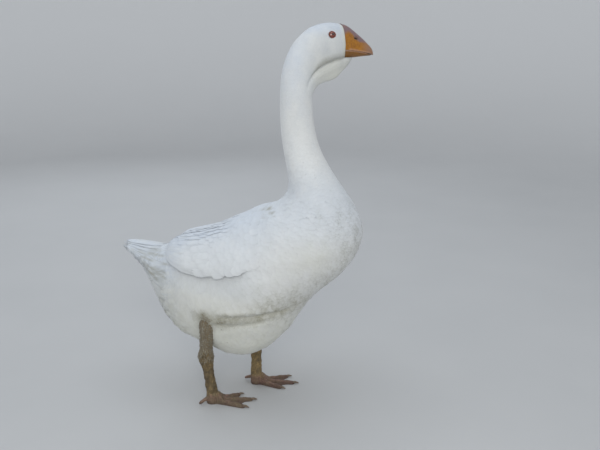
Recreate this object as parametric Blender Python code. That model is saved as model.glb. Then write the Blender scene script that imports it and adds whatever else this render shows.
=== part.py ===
"""
Domestic goose, white with an orange bill, standing with one foot ahead of the other
and the head turned to its left.  A still, life-size model.

Metres.  +X is the way the body points, +Y is the goose's left, +Z is up, the soles
are at z = 0.  The body (tail, trunk, neck, head) is one surface, lofted through named
stations, and parted with thin cuts; the wings lie on it as thin shells.
"""
import math

import bmesh
import bpy
import numpy as np
from mathutils import Vector

# ------------------------------------------------------------------ driving sizes (m)
GAP = 0.0003                      # between pieces that touch
NECK_AXIS_X = 0.0945              # the neck stands over this point, the head turns about it
HEAD_TURN = math.radians(45.0)    # to the goose's left
RING_SIDES = 32
TRUNK_RINGS = 25

# Stations along the body, from tail tip to bill base.
#   name, back point (x, z), under point (x, z), half width,
#   roundness (1 round, less is boxier), level of the widest place (-1 back, +1 under),
#   share of the head's turn
STATIONS = (
    ("tail_tip",    (-0.2770, 0.3095), (-0.2850, 0.3010), 0.030, 1.00,  0.00, 0.00),
    ("tail_mid",    (-0.2500, 0.3065), (-0.2560, 0.2840), 0.043, 1.00, -0.05, 0.00),
    ("tail_root",   (-0.2190, 0.3045), (-0.2250, 0.2520), 0.050, 1.00, -0.20, 0.00),
    ("vent",        (-0.1900, 0.3070), (-0.2020, 0.2040), 0.059, 1.00, -0.24, 0.00),
    ("rump",        (-0.1600, 0.3230), (-0.1720, 0.1520), 0.074, 0.95, -0.18, 0.00),
    ("loin",        (-0.1180, 0.3420), (-0.1300, 0.1210), 0.094, 0.92, -0.12, 0.00),
    ("hip",         (-0.0720, 0.3575), (-0.0810, 0.1070), 0.108, 0.90, -0.10, 0.00),
    ("belly",       (-0.0220, 0.3800), (-0.0280, 0.0960), 0.117, 0.90, -0.05, 0.00),
    ("midriff",     ( 0.0150, 0.3975), ( 0.0240, 0.1095), 0.119, 0.90,  0.00, 0.00),
    ("keel",        ( 0.0400, 0.4095), ( 0.0700, 0.1545), 0.116, 0.92,  0.00, 0.00),
    ("shoulder",    ( 0.0570, 0.4170), ( 0.1175, 0.2195), 0.110, 0.94,  0.00, 0.00),
    ("crop",        ( 0.0680, 0.4235), ( 0.1715, 0.2740), 0.100, 0.96,  0.00, 0.00),
    ("breast",      ( 0.0750, 0.4310), ( 0.2130, 0.3255), 0.087, 0.98,  0.00, 0.00),
    ("breast_top",  ( 0.0795, 0.4410), ( 0.2220, 0.3700), 0.073, 1.00,  0.00, 0.00),
    ("neck_foot",   ( 0.0815, 0.4570), ( 0.2030, 0.4180), 0.058, 1.00,  0.00, 0.00),
    ("neck_root",   ( 0.0770, 0.4850), ( 0.1610, 0.4800), 0.044, 1.00,  0.00, 0.00),
    ("neck_low",    ( 0.0690, 0.5180), ( 0.1370, 0.5230), 0.0345, 1.00, 0.00, 0.10),
    ("neck_mid",    ( 0.0635, 0.5630), ( 0.1255, 0.5690), 0.0305, 1.00, 0.00, 0.40),
    ("neck_high",   ( 0.0620, 0.6050), ( 0.1230, 0.6010), 0.0295, 1.00, 0.00, 0.75),
    ("poll",        ( 0.0630, 0.6400), ( 0.1240, 0.6180), 0.0290, 1.00, 0.00, 0.95),
    ("nape",        ( 0.0670, 0.6650), ( 0.1300, 0.6300), 0.0285, 1.00, -0.05, 1.00),
    ("hind_head",   ( 0.0740, 0.6865), ( 0.1430, 0.6390), 0.0285, 1.00, -0.20, 1.00),
    ("occiput",     ( 0.0845, 0.7060), ( 0.1590, 0.6430), 0.0288, 1.00, -0.25, 1.00),
    ("crown_back",  ( 0.1000, 0.7250), ( 0.1745, 0.6480), 0.0285, 1.00, -0.25, 1.00),
    ("crown",       ( 0.1225, 0.7410), ( 0.1860, 0.6575), 0.0272, 0.98, -0.20, 1.00),
    ("brow",        ( 0.1480, 0.7485), ( 0.1955, 0.6665), 0.0252, 0.96, -0.15, 1.00),
    ("forehead",    ( 0.1710, 0.7490), ( 0.2025, 0.6745), 0.0222, 0.96, -0.08, 1.00),
    ("bill_base",   ( 0.1950, 0.7435), ( 0.2070, 0.6815), 0.0190, 0.92, -0.04, 1.00),
)

FLANK_CREASE = 0.0055             # depth of the fold between flank feathers and paunch
DEWLAP_CREASE = 0.0050            # depth of the fold between cheek and dewlap

EYE_RADIUS = 0.0080
EYE_ALONG, EYE_HEIGHT = 0.0600, 0.7285     # from the neck axis along the head, and above the floor
EYE_BULGE = 0.0021                # how far the eyeball stands out of the cheek

WING_EDGE = 0.0095                # thickness of the folded wing along its lower edge
WING_BACK = 0.0050                # thickness over the back
WING_TIPS = 0.0085                # thickness of the wing tips over the rump
FOLD_CLEAR = 0.0017               # wing lies this far off the trunk

# Legs: joint centres of the right (rear) and left (forward) leg
LEGS = {
    "R": {"knee": (-0.0450, -0.0800, 0.2480), "thigh": (-0.0590, -0.0945, 0.1850),
          "hock": (-0.0725, -0.0750, 0.1040), "ankle": (-0.0680, -0.0590, 0.0235),
          "heading": 23.0, "outer": -1},
    "L": {"knee": (0.0070, 0.0800, 0.2480), "thigh": (-0.0060, 0.0930, 0.1850),
          "hock": (-0.0210, 0.0700, 0.1040), "ankle": (-0.0150, 0.0520, 0.0235),
          "heading": 14.0, "outer": 1},
}
TIBIA_LOW_R = 0.0115
HOCK_R = 0.0160
SHANK_R = 0.0106
TOE_LENGTH = {"outer": 0.072, "middle": 0.082, "inner": 0.062}
TOE_SPREAD = {"outer": 25.0, "middle": 0.0, "inner": -24.0}    # degrees, outwards positive
TOE_HALF = 0.0062                 # half width of a toe
TOE_RISE = 0.0095                 # height of a toe near its root
WEB = 0.0030                      # thickness of the web
CLAW_LENGTH = 0.0085
HIND_TOE = 0.0170

WHITE = (0.80, 0.80, 0.77)
ORANGE = (0.66, 0.33, 0.07)
LEG_BROWN = (0.33, 0.26, 0.15)
FOOT_PINK = (0.38, 0.25, 0.21)
HORN = (0.30, 0.24, 0.19)
EYE_BROWN = (0.07, 0.02, 0.012)


# ------------------------------------------------------------------ small helpers
def material(name, colour, roughness):
    mat = bpy.data.materials.get(name)
    if mat is None:
        mat = bpy.data.materials.new(name)
        mat.use_nodes = True
        bsdf = mat.node_tree.nodes["Principled BSDF"]
        bsdf.inputs["Base Color"].default_value = (*colour, 1.0)
        bsdf.inputs["Roughness"].default_value = roughness
        bsdf.inputs["Metallic"].default_value = 0.0
        mat.diffuse_color = (*colour, 1.0)
    return mat


def mesh_object(name, verts, faces, mat, hidden=False):
    """One closed mesh as one object, faces turned outward."""
    mesh = bpy.data.meshes.new(name)
    mesh.from_pydata([tuple(map(float, p)) for p in verts], [], faces)
    bm = bmesh.new()
    bm.from_mesh(mesh)
    bmesh.ops.recalc_face_normals(bm, faces=bm.faces[:])
    bm.to_mesh(mesh)
    bm.free()
    mesh.shade_smooth()
    obj = bpy.data.objects.new(name, mesh)
    bpy.context.collection.objects.link(obj)
    if mat is not None:
        mesh.materials.append(mat)
    if hidden:
        obj.hide_render = True
        obj.display_type = 'WIRE'
    return obj


def rings_to_solid(rings):
    """Quads between closed rings of equal count, and a fan on each end."""
    rings = [np.asarray(r, float) for r in rings]
    n = len(rings[0])
    verts = [p for r in rings for p in r]
    faces = []
    for i in range(len(rings) - 1):
        for j in range(n):
            k = (j + 1) % n
            faces.append((i * n + j, i * n + k, (i + 1) * n + k, (i + 1) * n + j))
    for first, ring in ((0, rings[0]), ((len(rings) - 1) * n, rings[-1])):
        c = len(verts)
        verts.append(ring.mean(axis=0))
        for j in range(n):
            faces.append((first + j, first + (j + 1) % n, c))
    return verts, faces


def cut(obj, cutter):
    mod = obj.modifiers.new("cut_" + cutter.name, 'BOOLEAN')
    mod.operation = 'DIFFERENCE'
    mod.solver = 'EXACT'
    mod.object = cutter


def smoothstep(a, b, x):
    t = np.clip((x - a) / (b - a), 0.0, 1.0)
    return t * t * (3.0 - 2.0 * t)


def bump(x, centre, reach):
    return np.exp(-((x - centre) / reach) ** 2)


# ------------------------------------------------------------------ the body's surface
def natural_spline(t, y):
    """Second derivatives of the natural cubic spline through (t, y)."""
    n = len(t)
    h = np.diff(t)
    a = np.zeros((n, n))
    b = np.zeros(y.shape)
    a[0, 0] = a[-1, -1] = 1.0
    for i in range(1, n - 1):
        a[i, i - 1], a[i, i], a[i, i + 1] = h[i - 1], 2.0 * (h[i - 1] + h[i]), h[i]
        b[i] = 6.0 * ((y[i + 1] - y[i]) / h[i] - (y[i] - y[i - 1]) / h[i - 1])
    return np.linalg.solve(a, b)


def spline_at(t, y, m, x):
    i = np.clip(np.searchsorted(t, x, side="right") - 1, 0, len(t) - 2)
    h = (t[i + 1] - t[i])[:, None]
    a = (t[i + 1] - x)[:, None] / h
    b = (x - t[i])[:, None] / h
    return a * y[i] + b * y[i + 1] + ((a ** 3 - a) * m[i] + (b ** 3 - b) * m[i + 1]) * h * h / 6.0


ROWS = np.array([[*s[1], *s[2], s[3], s[4], s[5], s[6]] for s in STATIONS])
STEP = np.sqrt(0.5 * (np.sum(np.diff(ROWS[:, 0:2], axis=0) ** 2, axis=1)
                      + np.sum(np.diff(ROWS[:, 2:4], axis=0) ** 2, axis=1)))
KNOT = np.concatenate([[0.0], np.cumsum(STEP)])
BEND = natural_spline(KNOT, ROWS)
AT = {s[0]: float(k) for s, k in zip(STATIONS, KNOT)}


def body(v, th):
    """Point of the body at v along it and th round it: 0 back, pi/2 left, pi under, 3pi/2 right."""
    v, th = np.broadcast_arrays(np.asarray(v, float), np.asarray(th, float))
    shape = v.shape
    v, th = v.ravel(), th.ravel()
    bx, bz, ux, uz, w, rnd, low, turn = spline_at(KNOT, ROWS, BEND, v).T
    mx, mz, hx, hz = (bx + ux) / 2, (bz + uz) / 2, (ux - bx) / 2, (uz - bz) / 2
    t, s = -np.cos(th), np.sin(th)
    lat = np.sign(s) * np.abs(s) ** rnd * (1 + low * t) / (1 + 0.25 * low * low)
    wide = w * lat
    x0, z0 = mx + hx * t, mz + hz * t
    # fold between the flank feathers and the paunch
    fold_z = 0.166 + (x0 + 0.066) * 0.385
    reach = (smoothstep(-0.11, -0.05, x0) * (1 - smoothstep(0.10, 0.16, x0))
             * (1 - smoothstep(AT["crop"], AT["breast_top"], v)))
    wide = wide - s * FLANK_CREASE * reach * (bump(z0, fold_z, 0.012)
                                              + 0.7 * smoothstep(0.0, 0.03, fold_z - z0))
    # fold between the cheek and the dewlap
    heads = [AT[n] for n in ("poll", "nape", "hind_head", "occiput", "crown_back",
                             "crown", "brow", "forehead", "bill_base")]
    tc = np.interp(v, heads, (0.25, 0.26, 0.27, 0.28, 0.33, 0.44, 0.60, 0.80, 0.95))
    dep = DEWLAP_CREASE * np.interp(v, heads, (0.0, 0.3, 0.8, 1.0, 1.0, 0.9, 0.6, 0.25, 0.0))
    wide = wide - s * dep * (bump(t, tc, 0.10) + 0.8 * smoothstep(0.0, 0.2, t - tc))
    # the tail's end is rounded seen from above and droops a little at its sides
    tail = 1 - smoothstep(AT["tail_tip"], AT["vent"], v)
    x = x0 + tail * 0.020 * lat ** 2
    z = z0 - tail * 0.004 * lat ** 2
    ang = HEAD_TURN * smoothstep(0.0, 1.0, turn)
    u = x - NECK_AXIS_X
    p = np.stack([NECK_AXIS_X + u * np.cos(ang) - wide * np.sin(ang),
                  u * np.sin(ang) + wide * np.cos(ang), z], axis=-1)
    return p.reshape(shape + (3,))


def outward(v, th):
    """Unit normal of the body's surface, pointing out."""
    v, th = np.broadcast_arrays(np.asarray(v, float), np.asarray(th, float))
    dv = body(v + 2e-4, th) - body(v - 2e-4, th)
    dt = body(v, th + 2e-3) - body(v, th - 2e-3)
    n = np.cross(dv, dt)
    n /= np.linalg.norm(n, axis=-1, keepdims=True)
    return n


def ring(v, sides=RING_SIDES):
    return body(v, np.arange(sides) * 2 * math.pi / sides)


def ring_forward(r):
    """Unit direction along the body, square to a ring."""
    c = r.mean(axis=0)
    n = np.zeros(3)
    for j in range(len(r)):
        n += np.cross(r[j] - c, r[(j + 1) % len(r)] - c)
    n /= np.linalg.norm(n)
    return n


def length_of_body(name, v0, v1, count, mat, first_gap=False):
    """The body from v0 to v1; a first ring moved on by GAP leaves the thin cut."""
    vs = np.linspace(v0, v1, count)
    rings = [ring(v) for v in vs]
    if first_gap:
        f = ring_forward(rings[0])
        ahead = np.sign(np.dot(rings[1].mean(axis=0) - rings[0].mean(axis=0), f))
        rings[0] = rings[0] + f * ahead * GAP
    return mesh_object(name, *rings_to_solid(rings), mat)


# ------------------------------------------------------------------ head frame
HEAD_F = np.array([math.cos(HEAD_TURN), math.sin(HEAD_TURN), 0.0])     # forward
HEAD_L = np.array([-math.sin(HEAD_TURN), math.cos(HEAD_TURN), 0.0])    # left
HEAD_O = np.array([NECK_AXIS_X, 0.0, 0.0])


def head_point(u, s, z):
    """u forward of the neck axis, s to the left, z above the floor."""
    return HEAD_O + HEAD_F * u + HEAD_L * s + np.array([0.0, 0.0, z])


BASE_U, BASE_SWEEP, BASE_HALF = 0.0955, 0.0060, 0.0190      # feather line at the bill's base
CHIN_TOP = 0.6868                 # the chin runs on forward under the bill, below this level


def base_line(s):
    """How far forward the feather line lies at s from the head's middle."""
    return BASE_U - BASE_SWEEP * (s / BASE_HALF) ** 2


def base_cutter(name, front, offset):
    """A prism ahead of (front) or behind the feather line, to part head and bill."""
    ss = np.linspace(-0.034, 0.034, 15)
    far = 0.24 if front else 0.0
    low, high = (CHIN_TOP, 0.80) if front else (0.60, 0.80)
    verts, faces = [], []
    for s in ss:
        near_u = base_line(s) + offset
        for u, z in ((near_u, low), (near_u, high), (far, high), (far, low)):
            verts.append(head_point(u, s, z))
    n = len(ss)
    for i in range(n - 1):
        for j in range(4):
            k = (j + 1) % 4
            faces.append((4 * i + j, 4 * i + k, 4 * i + 4 + k, 4 * i + 4 + j))
    faces += [(0, 1, 2, 3), tuple(4 * (n - 1) + j for j in range(4))]
    return mesh_object(name, verts, faces, None, hidden=True)


# ------------------------------------------------------------------ bill
# along the head: u, top z, bottom z, half width
UPPER_BILL = (
    (0.0860, 0.7480, 0.7005, 0.0172),
    (0.0955, 0.7460, 0.7000, 0.0174),
    (0.1067, 0.7405, 0.6990, 0.0172),
    (0.1200, 0.7315, 0.6975, 0.0165),
    (0.1330, 0.7220, 0.6955, 0.0155),
    (0.1440, 0.7130, 0.6935, 0.0145),
    (0.1515, 0.7060, 0.6915, 0.0130),
    (0.1562, 0.7000, 0.6895, 0.0102),
    (0.1582, 0.6955, 0.6890, 0.0062),
)
LOWER_BILL = (
    (0.0860, 0.7000, 0.6874, 0.0150),
    (0.0955, 0.6994, 0.6874, 0.0152),
    (0.1067, 0.6984, 0.6874, 0.0150),
    (0.1200, 0.6969, 0.6875, 0.0143),
    (0.1330, 0.6949, 0.6878, 0.0132),
    (0.1440, 0.6929, 0.6880, 0.0118),
    (0.1505, 0.6911, 0.6880, 0.0098),
    (0.1540, 0.6898, 0.6880, 0.0065),
)


def bill_half(name, table, dome, mat, sides=20, steps=12):
    """Loft of a D-shaped section; dome 1 keeps the round side up, -1 keeps it down."""
    rows = np.array(table)
    t = np.concatenate([[0.0], np.cumsum(np.hypot(np.diff(rows[:, 0]), np.diff(rows[:, 1])))])
    m = natural_spline(t, rows)
    rings = []
    for x in np.linspace(0.0, t[-1], steps):
        u, top, bottom, w = spline_at(t, rows, m, np.array([x]))[0]
        arch = []
        flat = top if dome < 0 else bottom
        far = bottom if dome < 0 else top
        for j in range(sides):
            a = 2 * math.pi * j / sides
            c, s = math.cos(a), math.sin(a)
            lift = max(c, 0.0) ** 0.8 * (far - flat)
            if c < 0:
                lift = -abs(c) * 0.0                      # flat side
                s = math.copysign(abs(s) ** 1.0, s)
            side = math.copysign(abs(s) ** 0.72, s) * w
            side *= 1.0 - 0.10 * max(c, 0.0)
            arch.append(head_point(u, side, flat + lift))
        rings.append(np.array(arch))
    return mesh_object(name, *rings_to_solid(rings), mat)


# ------------------------------------------------------------------ eye
def eye_centre(side):
    """Centre of the eyeball, set into the cheek at the eye's place."""
    best = None
    for v in np.linspace(AT["crown_back"], AT["forehead"], 160):
        for th in np.linspace(0.25, 1.6, 120):
            p = body(v, th)
            u = np.dot(p - HEAD_O, HEAD_F)
            d = math.hypot(u - EYE_ALONG, p[2] - EYE_HEIGHT)
            if best is None or d < best[0]:
                best = (d, v, th)
    _, v, th = best
    p, n = body(v, th), outward(v, th)
    if side < 0:                                       # mirror about the head's own middle
        for q in (p,):
            sl = np.dot(q - HEAD_O, HEAD_L)
            p = q - 2 * sl * HEAD_L
        n = n - 2 * np.dot(n, HEAD_L) * HEAD_L
    return p - n * (EYE_RADIUS - EYE_BULGE), n


def ball(name, centre, axis, radius, mat, hidden=False, sides=12, rows=9):
    z = Vector(axis).normalized()
    x = z.orthogonal().normalized()
    y = z.cross(x)
    verts, faces = [], []
    for i in range(1, rows):
        a = math.pi * i / rows
        for j in range(sides):
            b = 2 * math.pi * j / sides
            d = z * math.cos(a) + (x * math.cos(b) + y * math.sin(b)) * math.sin(a)
            verts.append(Vector(centre) + d * radius)
    for i in range(rows - 2):
        for j in range(sides):
            k = (j + 1) % sides
            faces.append((i * sides + j, i * sides + k, (i + 1) * sides + k, (i + 1) * sides + j))
    top, bottom = len(verts), len(verts) + 1
    verts += [Vector(centre) + z * radius, Vector(centre) - z * radius]
    for j in range(sides):
        k = (j + 1) % sides
        faces.append((j, k, top))
        faces.append(((rows - 2) * sides + j, (rows - 2) * sides + k, bottom))
    return mesh_object(name, verts, faces, mat, hidden)


# ------------------------------------------------------------------ wings
WING_TIP, WING_FRONT = AT["vent"] + 0.45 * (AT["rump"] - AT["vent"]), AT["crop"]
WING_LOW = (("tip", WING_TIP, 0.42), ("rump", AT["rump"], 0.74), ("loin", AT["loin"], 1.03),
            ("hip", AT["hip"], 1.16), ("belly", AT["belly"], 1.22), ("midriff", AT["midriff"], 1.28),
            ("keel", AT["keel"], 1.36), ("shoulder", AT["shoulder"], 1.30), ("front", WING_FRONT, 0.95))


def wing_low(v):
    return np.interp(v, [r[1] for r in WING_LOW], [r[2] for r in WING_LOW])


def wing_top(v):
    return np.interp(v, [WING_TIP, AT["rump"], AT["loin"], AT["keel"], WING_FRONT],
                     [0.10, 0.07, 0.07, 0.10, 0.42])


def wing_rise(v, q):
    """Thickness of the folded wing; q runs 0 at the back to 1 at the lower edge."""
    ahead = 1 - smoothstep(AT["belly"], AT["shoulder"], v)
    astern = 0.55 + 0.45 * smoothstep(WING_TIP, AT["loin"], v)
    edge = 0.0012 + (WING_EDGE - 0.0012) * ahead * astern * smoothstep(0.25, 0.86, q) \
        * (1 - 0.80 * smoothstep(0.90, 1.0, q))
    tips = WING_BACK + (WING_TIPS - WING_BACK) * (1 - smoothstep(AT["rump"], AT["hip"], v))
    back = (tips - 0.0012) * smoothstep(0.0, 0.15, q) * (1 - smoothstep(0.35, 0.80, q)) \
        * (1 - 0.8 * smoothstep(AT["keel"], WING_FRONT, v))
    return edge + back


def wing(name, side, mat, along=15, across=13):
    outer, inner = [], []
    for i in range(along):
        v = WING_TIP + (WING_FRONT - WING_TIP) * i / (along - 1)
        for j in range(across):
            q = j / (across - 1)
            th = wing_top(v) + (wing_low(v) - wing_top(v)) * q
            p, n = body(v, th), outward(v, th)
            a = p + n * (FOLD_CLEAR + wing_rise(v, q))
            b = p + n * FOLD_CLEAR
            for q3 in (a, b):
                q3[1] *= side
            outer.append(a)
            inner.append(b)
    verts = outer + inner
    m = along * across
    faces = []
    for i in range(along - 1):
        for j in range(across - 1):
            a, b = i * across + j, i * across + j + 1
            c, d = a + across + 1, a + across
            faces.append((a, b, c, d))
            faces.append((m + a, m + d, m + c, m + b))
    rim = ([j for j in range(across)] + [i * across + across - 1 for i in range(1, along)]
           + [(along - 1) * across + j for j in range(across - 2, -1, -1)]
           + [i * across for i in range(along - 2, 0, -1)])
    for j in range(len(rim)):
        a, b = rim[j], rim[(j + 1) % len(rim)]
        faces.append((a, b, m + b, m + a))
    return mesh_object(name, verts, faces, mat)


# ------------------------------------------------------------------ legs and feet
def limb(points, radii, sides=14):
    """Rings of round section along a line of points; returns rings for a solid."""
    pts = [Vector(p) for p in points]
    rings = []
    for i, p in enumerate(pts):
        d = (pts[min(i + 1, len(pts) - 1)] - pts[max(i - 1, 0)]).normalized()
        side = Vector((0, 1, 0))
        x = (side - d * side.dot(d)).normalized()          # across the goose
        y = d.cross(x)                                     # fore and aft
        rx, ry = radii[i]
        rings.append(np.array([p + x * rx * math.cos(2 * math.pi * j / sides)
                               + y * ry * math.sin(2 * math.pi * j / sides) for j in range(sides)]))
    return rings


def lerp(a, b, t):
    return tuple(a[k] + (b[k] - a[k]) * t for k in range(3))


def foot_height(r, phi, leg):
    """Top of the foot over the floor at r, phi from the ankle, phi outwards from the middle toe."""
    web = WEB * (0.75 + 0.25 * math.cos(phi))
    h = web
    for toe in ("outer", "middle", "inner"):
        a = math.radians(TOE_SPREAD[toe])
        along, across = r * math.cos(phi - a), r * math.sin(phi - a)
        if along < 0:
            continue
        reach = TOE_LENGTH[toe]
        knob = 1 + 0.14 * math.cos(along / reach * (5 if toe == "middle" else 4) * math.pi) ** 2
        half = TOE_HALF * (1.0 - 0.25 * along / reach) * knob
        rise = TOE_RISE * (1.0 - 0.42 * min(along / reach, 1.0)) * knob
        k = max(0.0, 1 - (across / half) ** 2)
        h = max(h, web + (rise - web) * math.sqrt(k))
    boss = 0.0225
    h = h + max(0.0, boss - h) * (1 - float(smoothstep(0.0095, 0.030, r)))
    return h


def foot_reach(phi):
    """How far the foot runs from the ankle at phi."""
    heel = 0.0125
    names = ("inner", "middle", "outer")
    ang = [math.radians(TOE_SPREAD[n]) for n in names]
    tips = [TOE_LENGTH[n] for n in names]
    best = heel
    for a, tip in zip(ang, tips):                       # the toe's own end, round
        d = phi - a
        if abs(d) < 1.2:
            s = abs(math.sin(d)) * tip / (TOE_HALF * 1.05)
            if s < 1:
                best = max(best, tip - TOE_HALF + TOE_HALF * math.sqrt(1 - s * s))
            side = TOE_HALF * 0.95 / max(abs(math.sin(d)), 1e-3)
            if math.cos(d) > 0:
                best = max(best, min(side, tip - TOE_HALF))
    for k in range(2):                                  # web scallops between toes
        if ang[k] <= phi <= ang[k + 1]:
            f = (phi - ang[k]) / (ang[k + 1] - ang[k])
            edge = (tips[k] * 0.93) * (1 - f) + (tips[k + 1] * 0.93) * f
            best = max(best, edge * (1 - 0.15 * math.sin(math.pi * f)))
    return best


def foot(name, leg, mat, sides=42, steps=7):
    ax, ay, az = leg["ankle"]
    head, outer = math.radians(leg["heading"]), leg["outer"]
    toes = [math.radians(TOE_SPREAD[n]) for n in ("inner", "middle", "outer")]
    # angles: close together over the toes, wide at the heel
    front = np.linspace(toes[0] - 0.16, toes[2] + 0.16, sides - 10)
    back = np.linspace(toes[2] + 0.16, toes[0] - 0.16 + 2 * math.pi, 12)[1:-1]
    phis = np.concatenate([front, back])
    verts, faces = [], []
    n = len(phis)

    def place(r, phi, z):
        a = head + outer * phi
        return (ax + r * math.cos(a), ay + r * math.sin(a), z)

    fr = [((i / steps) ** 0.85) for i in range(1, steps + 1)]
    for i, f in enumerate(fr):
        for phi in phis:
            p = (phi + math.pi) % (2 * math.pi) - math.pi
            reach = foot_reach(p)
            r = reach * f
            z = foot_height(r, p, leg)
            if i == steps - 1:
                z = min(z, WEB) * 0.55
            verts.append(place(r, p, z))
    for phi in phis:                                     # sole's edge on the floor
        p = (phi + math.pi) % (2 * math.pi) - math.pi
        verts.append(place(foot_reach(p) - 0.0006, p, 0.0))
    rows = steps + 1
    for i in range(rows - 1):
        for j in range(n):
            k = (j + 1) % n
            faces.append((i * n + j, i * n + k, (i + 1) * n + k, (i + 1) * n + j))
    top, bottom = len(verts), len(verts) + 1
    verts += [place(0.0, 0.0, 0.0225), place(0.0, 0.0, 0.0)]
    for j in range(n):
        k = (j + 1) % n
        faces.append((j, k, top))
        faces.append(((rows - 1) * n + j, (rows - 1) * n + k, bottom))
    return mesh_object(name, verts, faces, mat)


def claw(name, leg, toe, mat, sides=8):
    """A short blunt nail ahead of a toe's end, curving down, clear of the floor."""
    ax, ay, _ = leg["ankle"]
    a = math.radians(leg["heading"]) + leg["outer"] * math.radians(TOE_SPREAD[toe])
    d = Vector((math.cos(a), math.sin(a), 0.0))
    s = Vector((-math.sin(a), math.cos(a), 0.0))
    root = Vector((ax, ay, 0.0)) + d * (TOE_LENGTH[toe] + 0.0005)
    rings = []
    for f in (0.0, 0.35, 0.7, 1.0):
        c = root + d * (CLAW_LENGTH * f) + Vector((0, 0, 0.0034 - 0.0018 * f * f))
        w, h = 0.0030 * (1 - 0.72 * f ** 1.4), 0.0026 * (1 - 0.70 * f ** 1.2)
        rings.append(np.array([c + s * w * math.cos(2 * math.pi * j / sides)
                               + Vector((0, 0, 1)) * h * math.sin(2 * math.pi * j / sides)
                               for j in range(sides)]))
    return mesh_object(name, *rings_to_solid(rings), mat)


def hind_toe(name, leg, mat):
    """The small raised toe behind the ankle, its tip just over the floor."""
    ax, ay, az = leg["ankle"]
    a = math.radians(leg["heading"]) + leg["outer"] * math.radians(-28.0) + math.pi
    d = Vector((math.cos(a), math.sin(a), 0.0))
    root = Vector((ax, ay, 0.0)) + d * 0.0136 + Vector((0, 0, 0.0120))
    pts, rad = [], []
    for f in (0.0, 0.25, 0.5, 0.75, 0.92, 1.0):
        pts.append(root + d * (HIND_TOE * f) + Vector((0, 0, -0.0078 * f ** 1.2)))
        r = 0.0044 * (1 - 0.25 * f) if f < 0.9 else (0.0022 if f < 0.99 else 0.0008)
        rad.append((r, r * 0.9))
    return mesh_object(name, *rings_to_solid(limb(pts, rad, sides=10)), mat)


# ------------------------------------------------------------------ build
def clear_scene():
    for obj in list(bpy.data.objects):
        bpy.data.objects.remove(obj, do_unlink=True)


def trunk_cutter(v0, v1):
    """The trunk, ring for ring, grown by a thin gap, to end the legs flush at the plumage."""
    rings = []
    th = np.arange(RING_SIDES) * 2 * math.pi / RING_SIDES
    for v in np.linspace(v0, v1, TRUNK_RINGS):
        rings.append(body(v, th) + outward(v, th) * 2 * GAP)
    return mesh_object("cutter_trunk", *rings_to_solid(rings), None, hidden=True)


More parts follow.
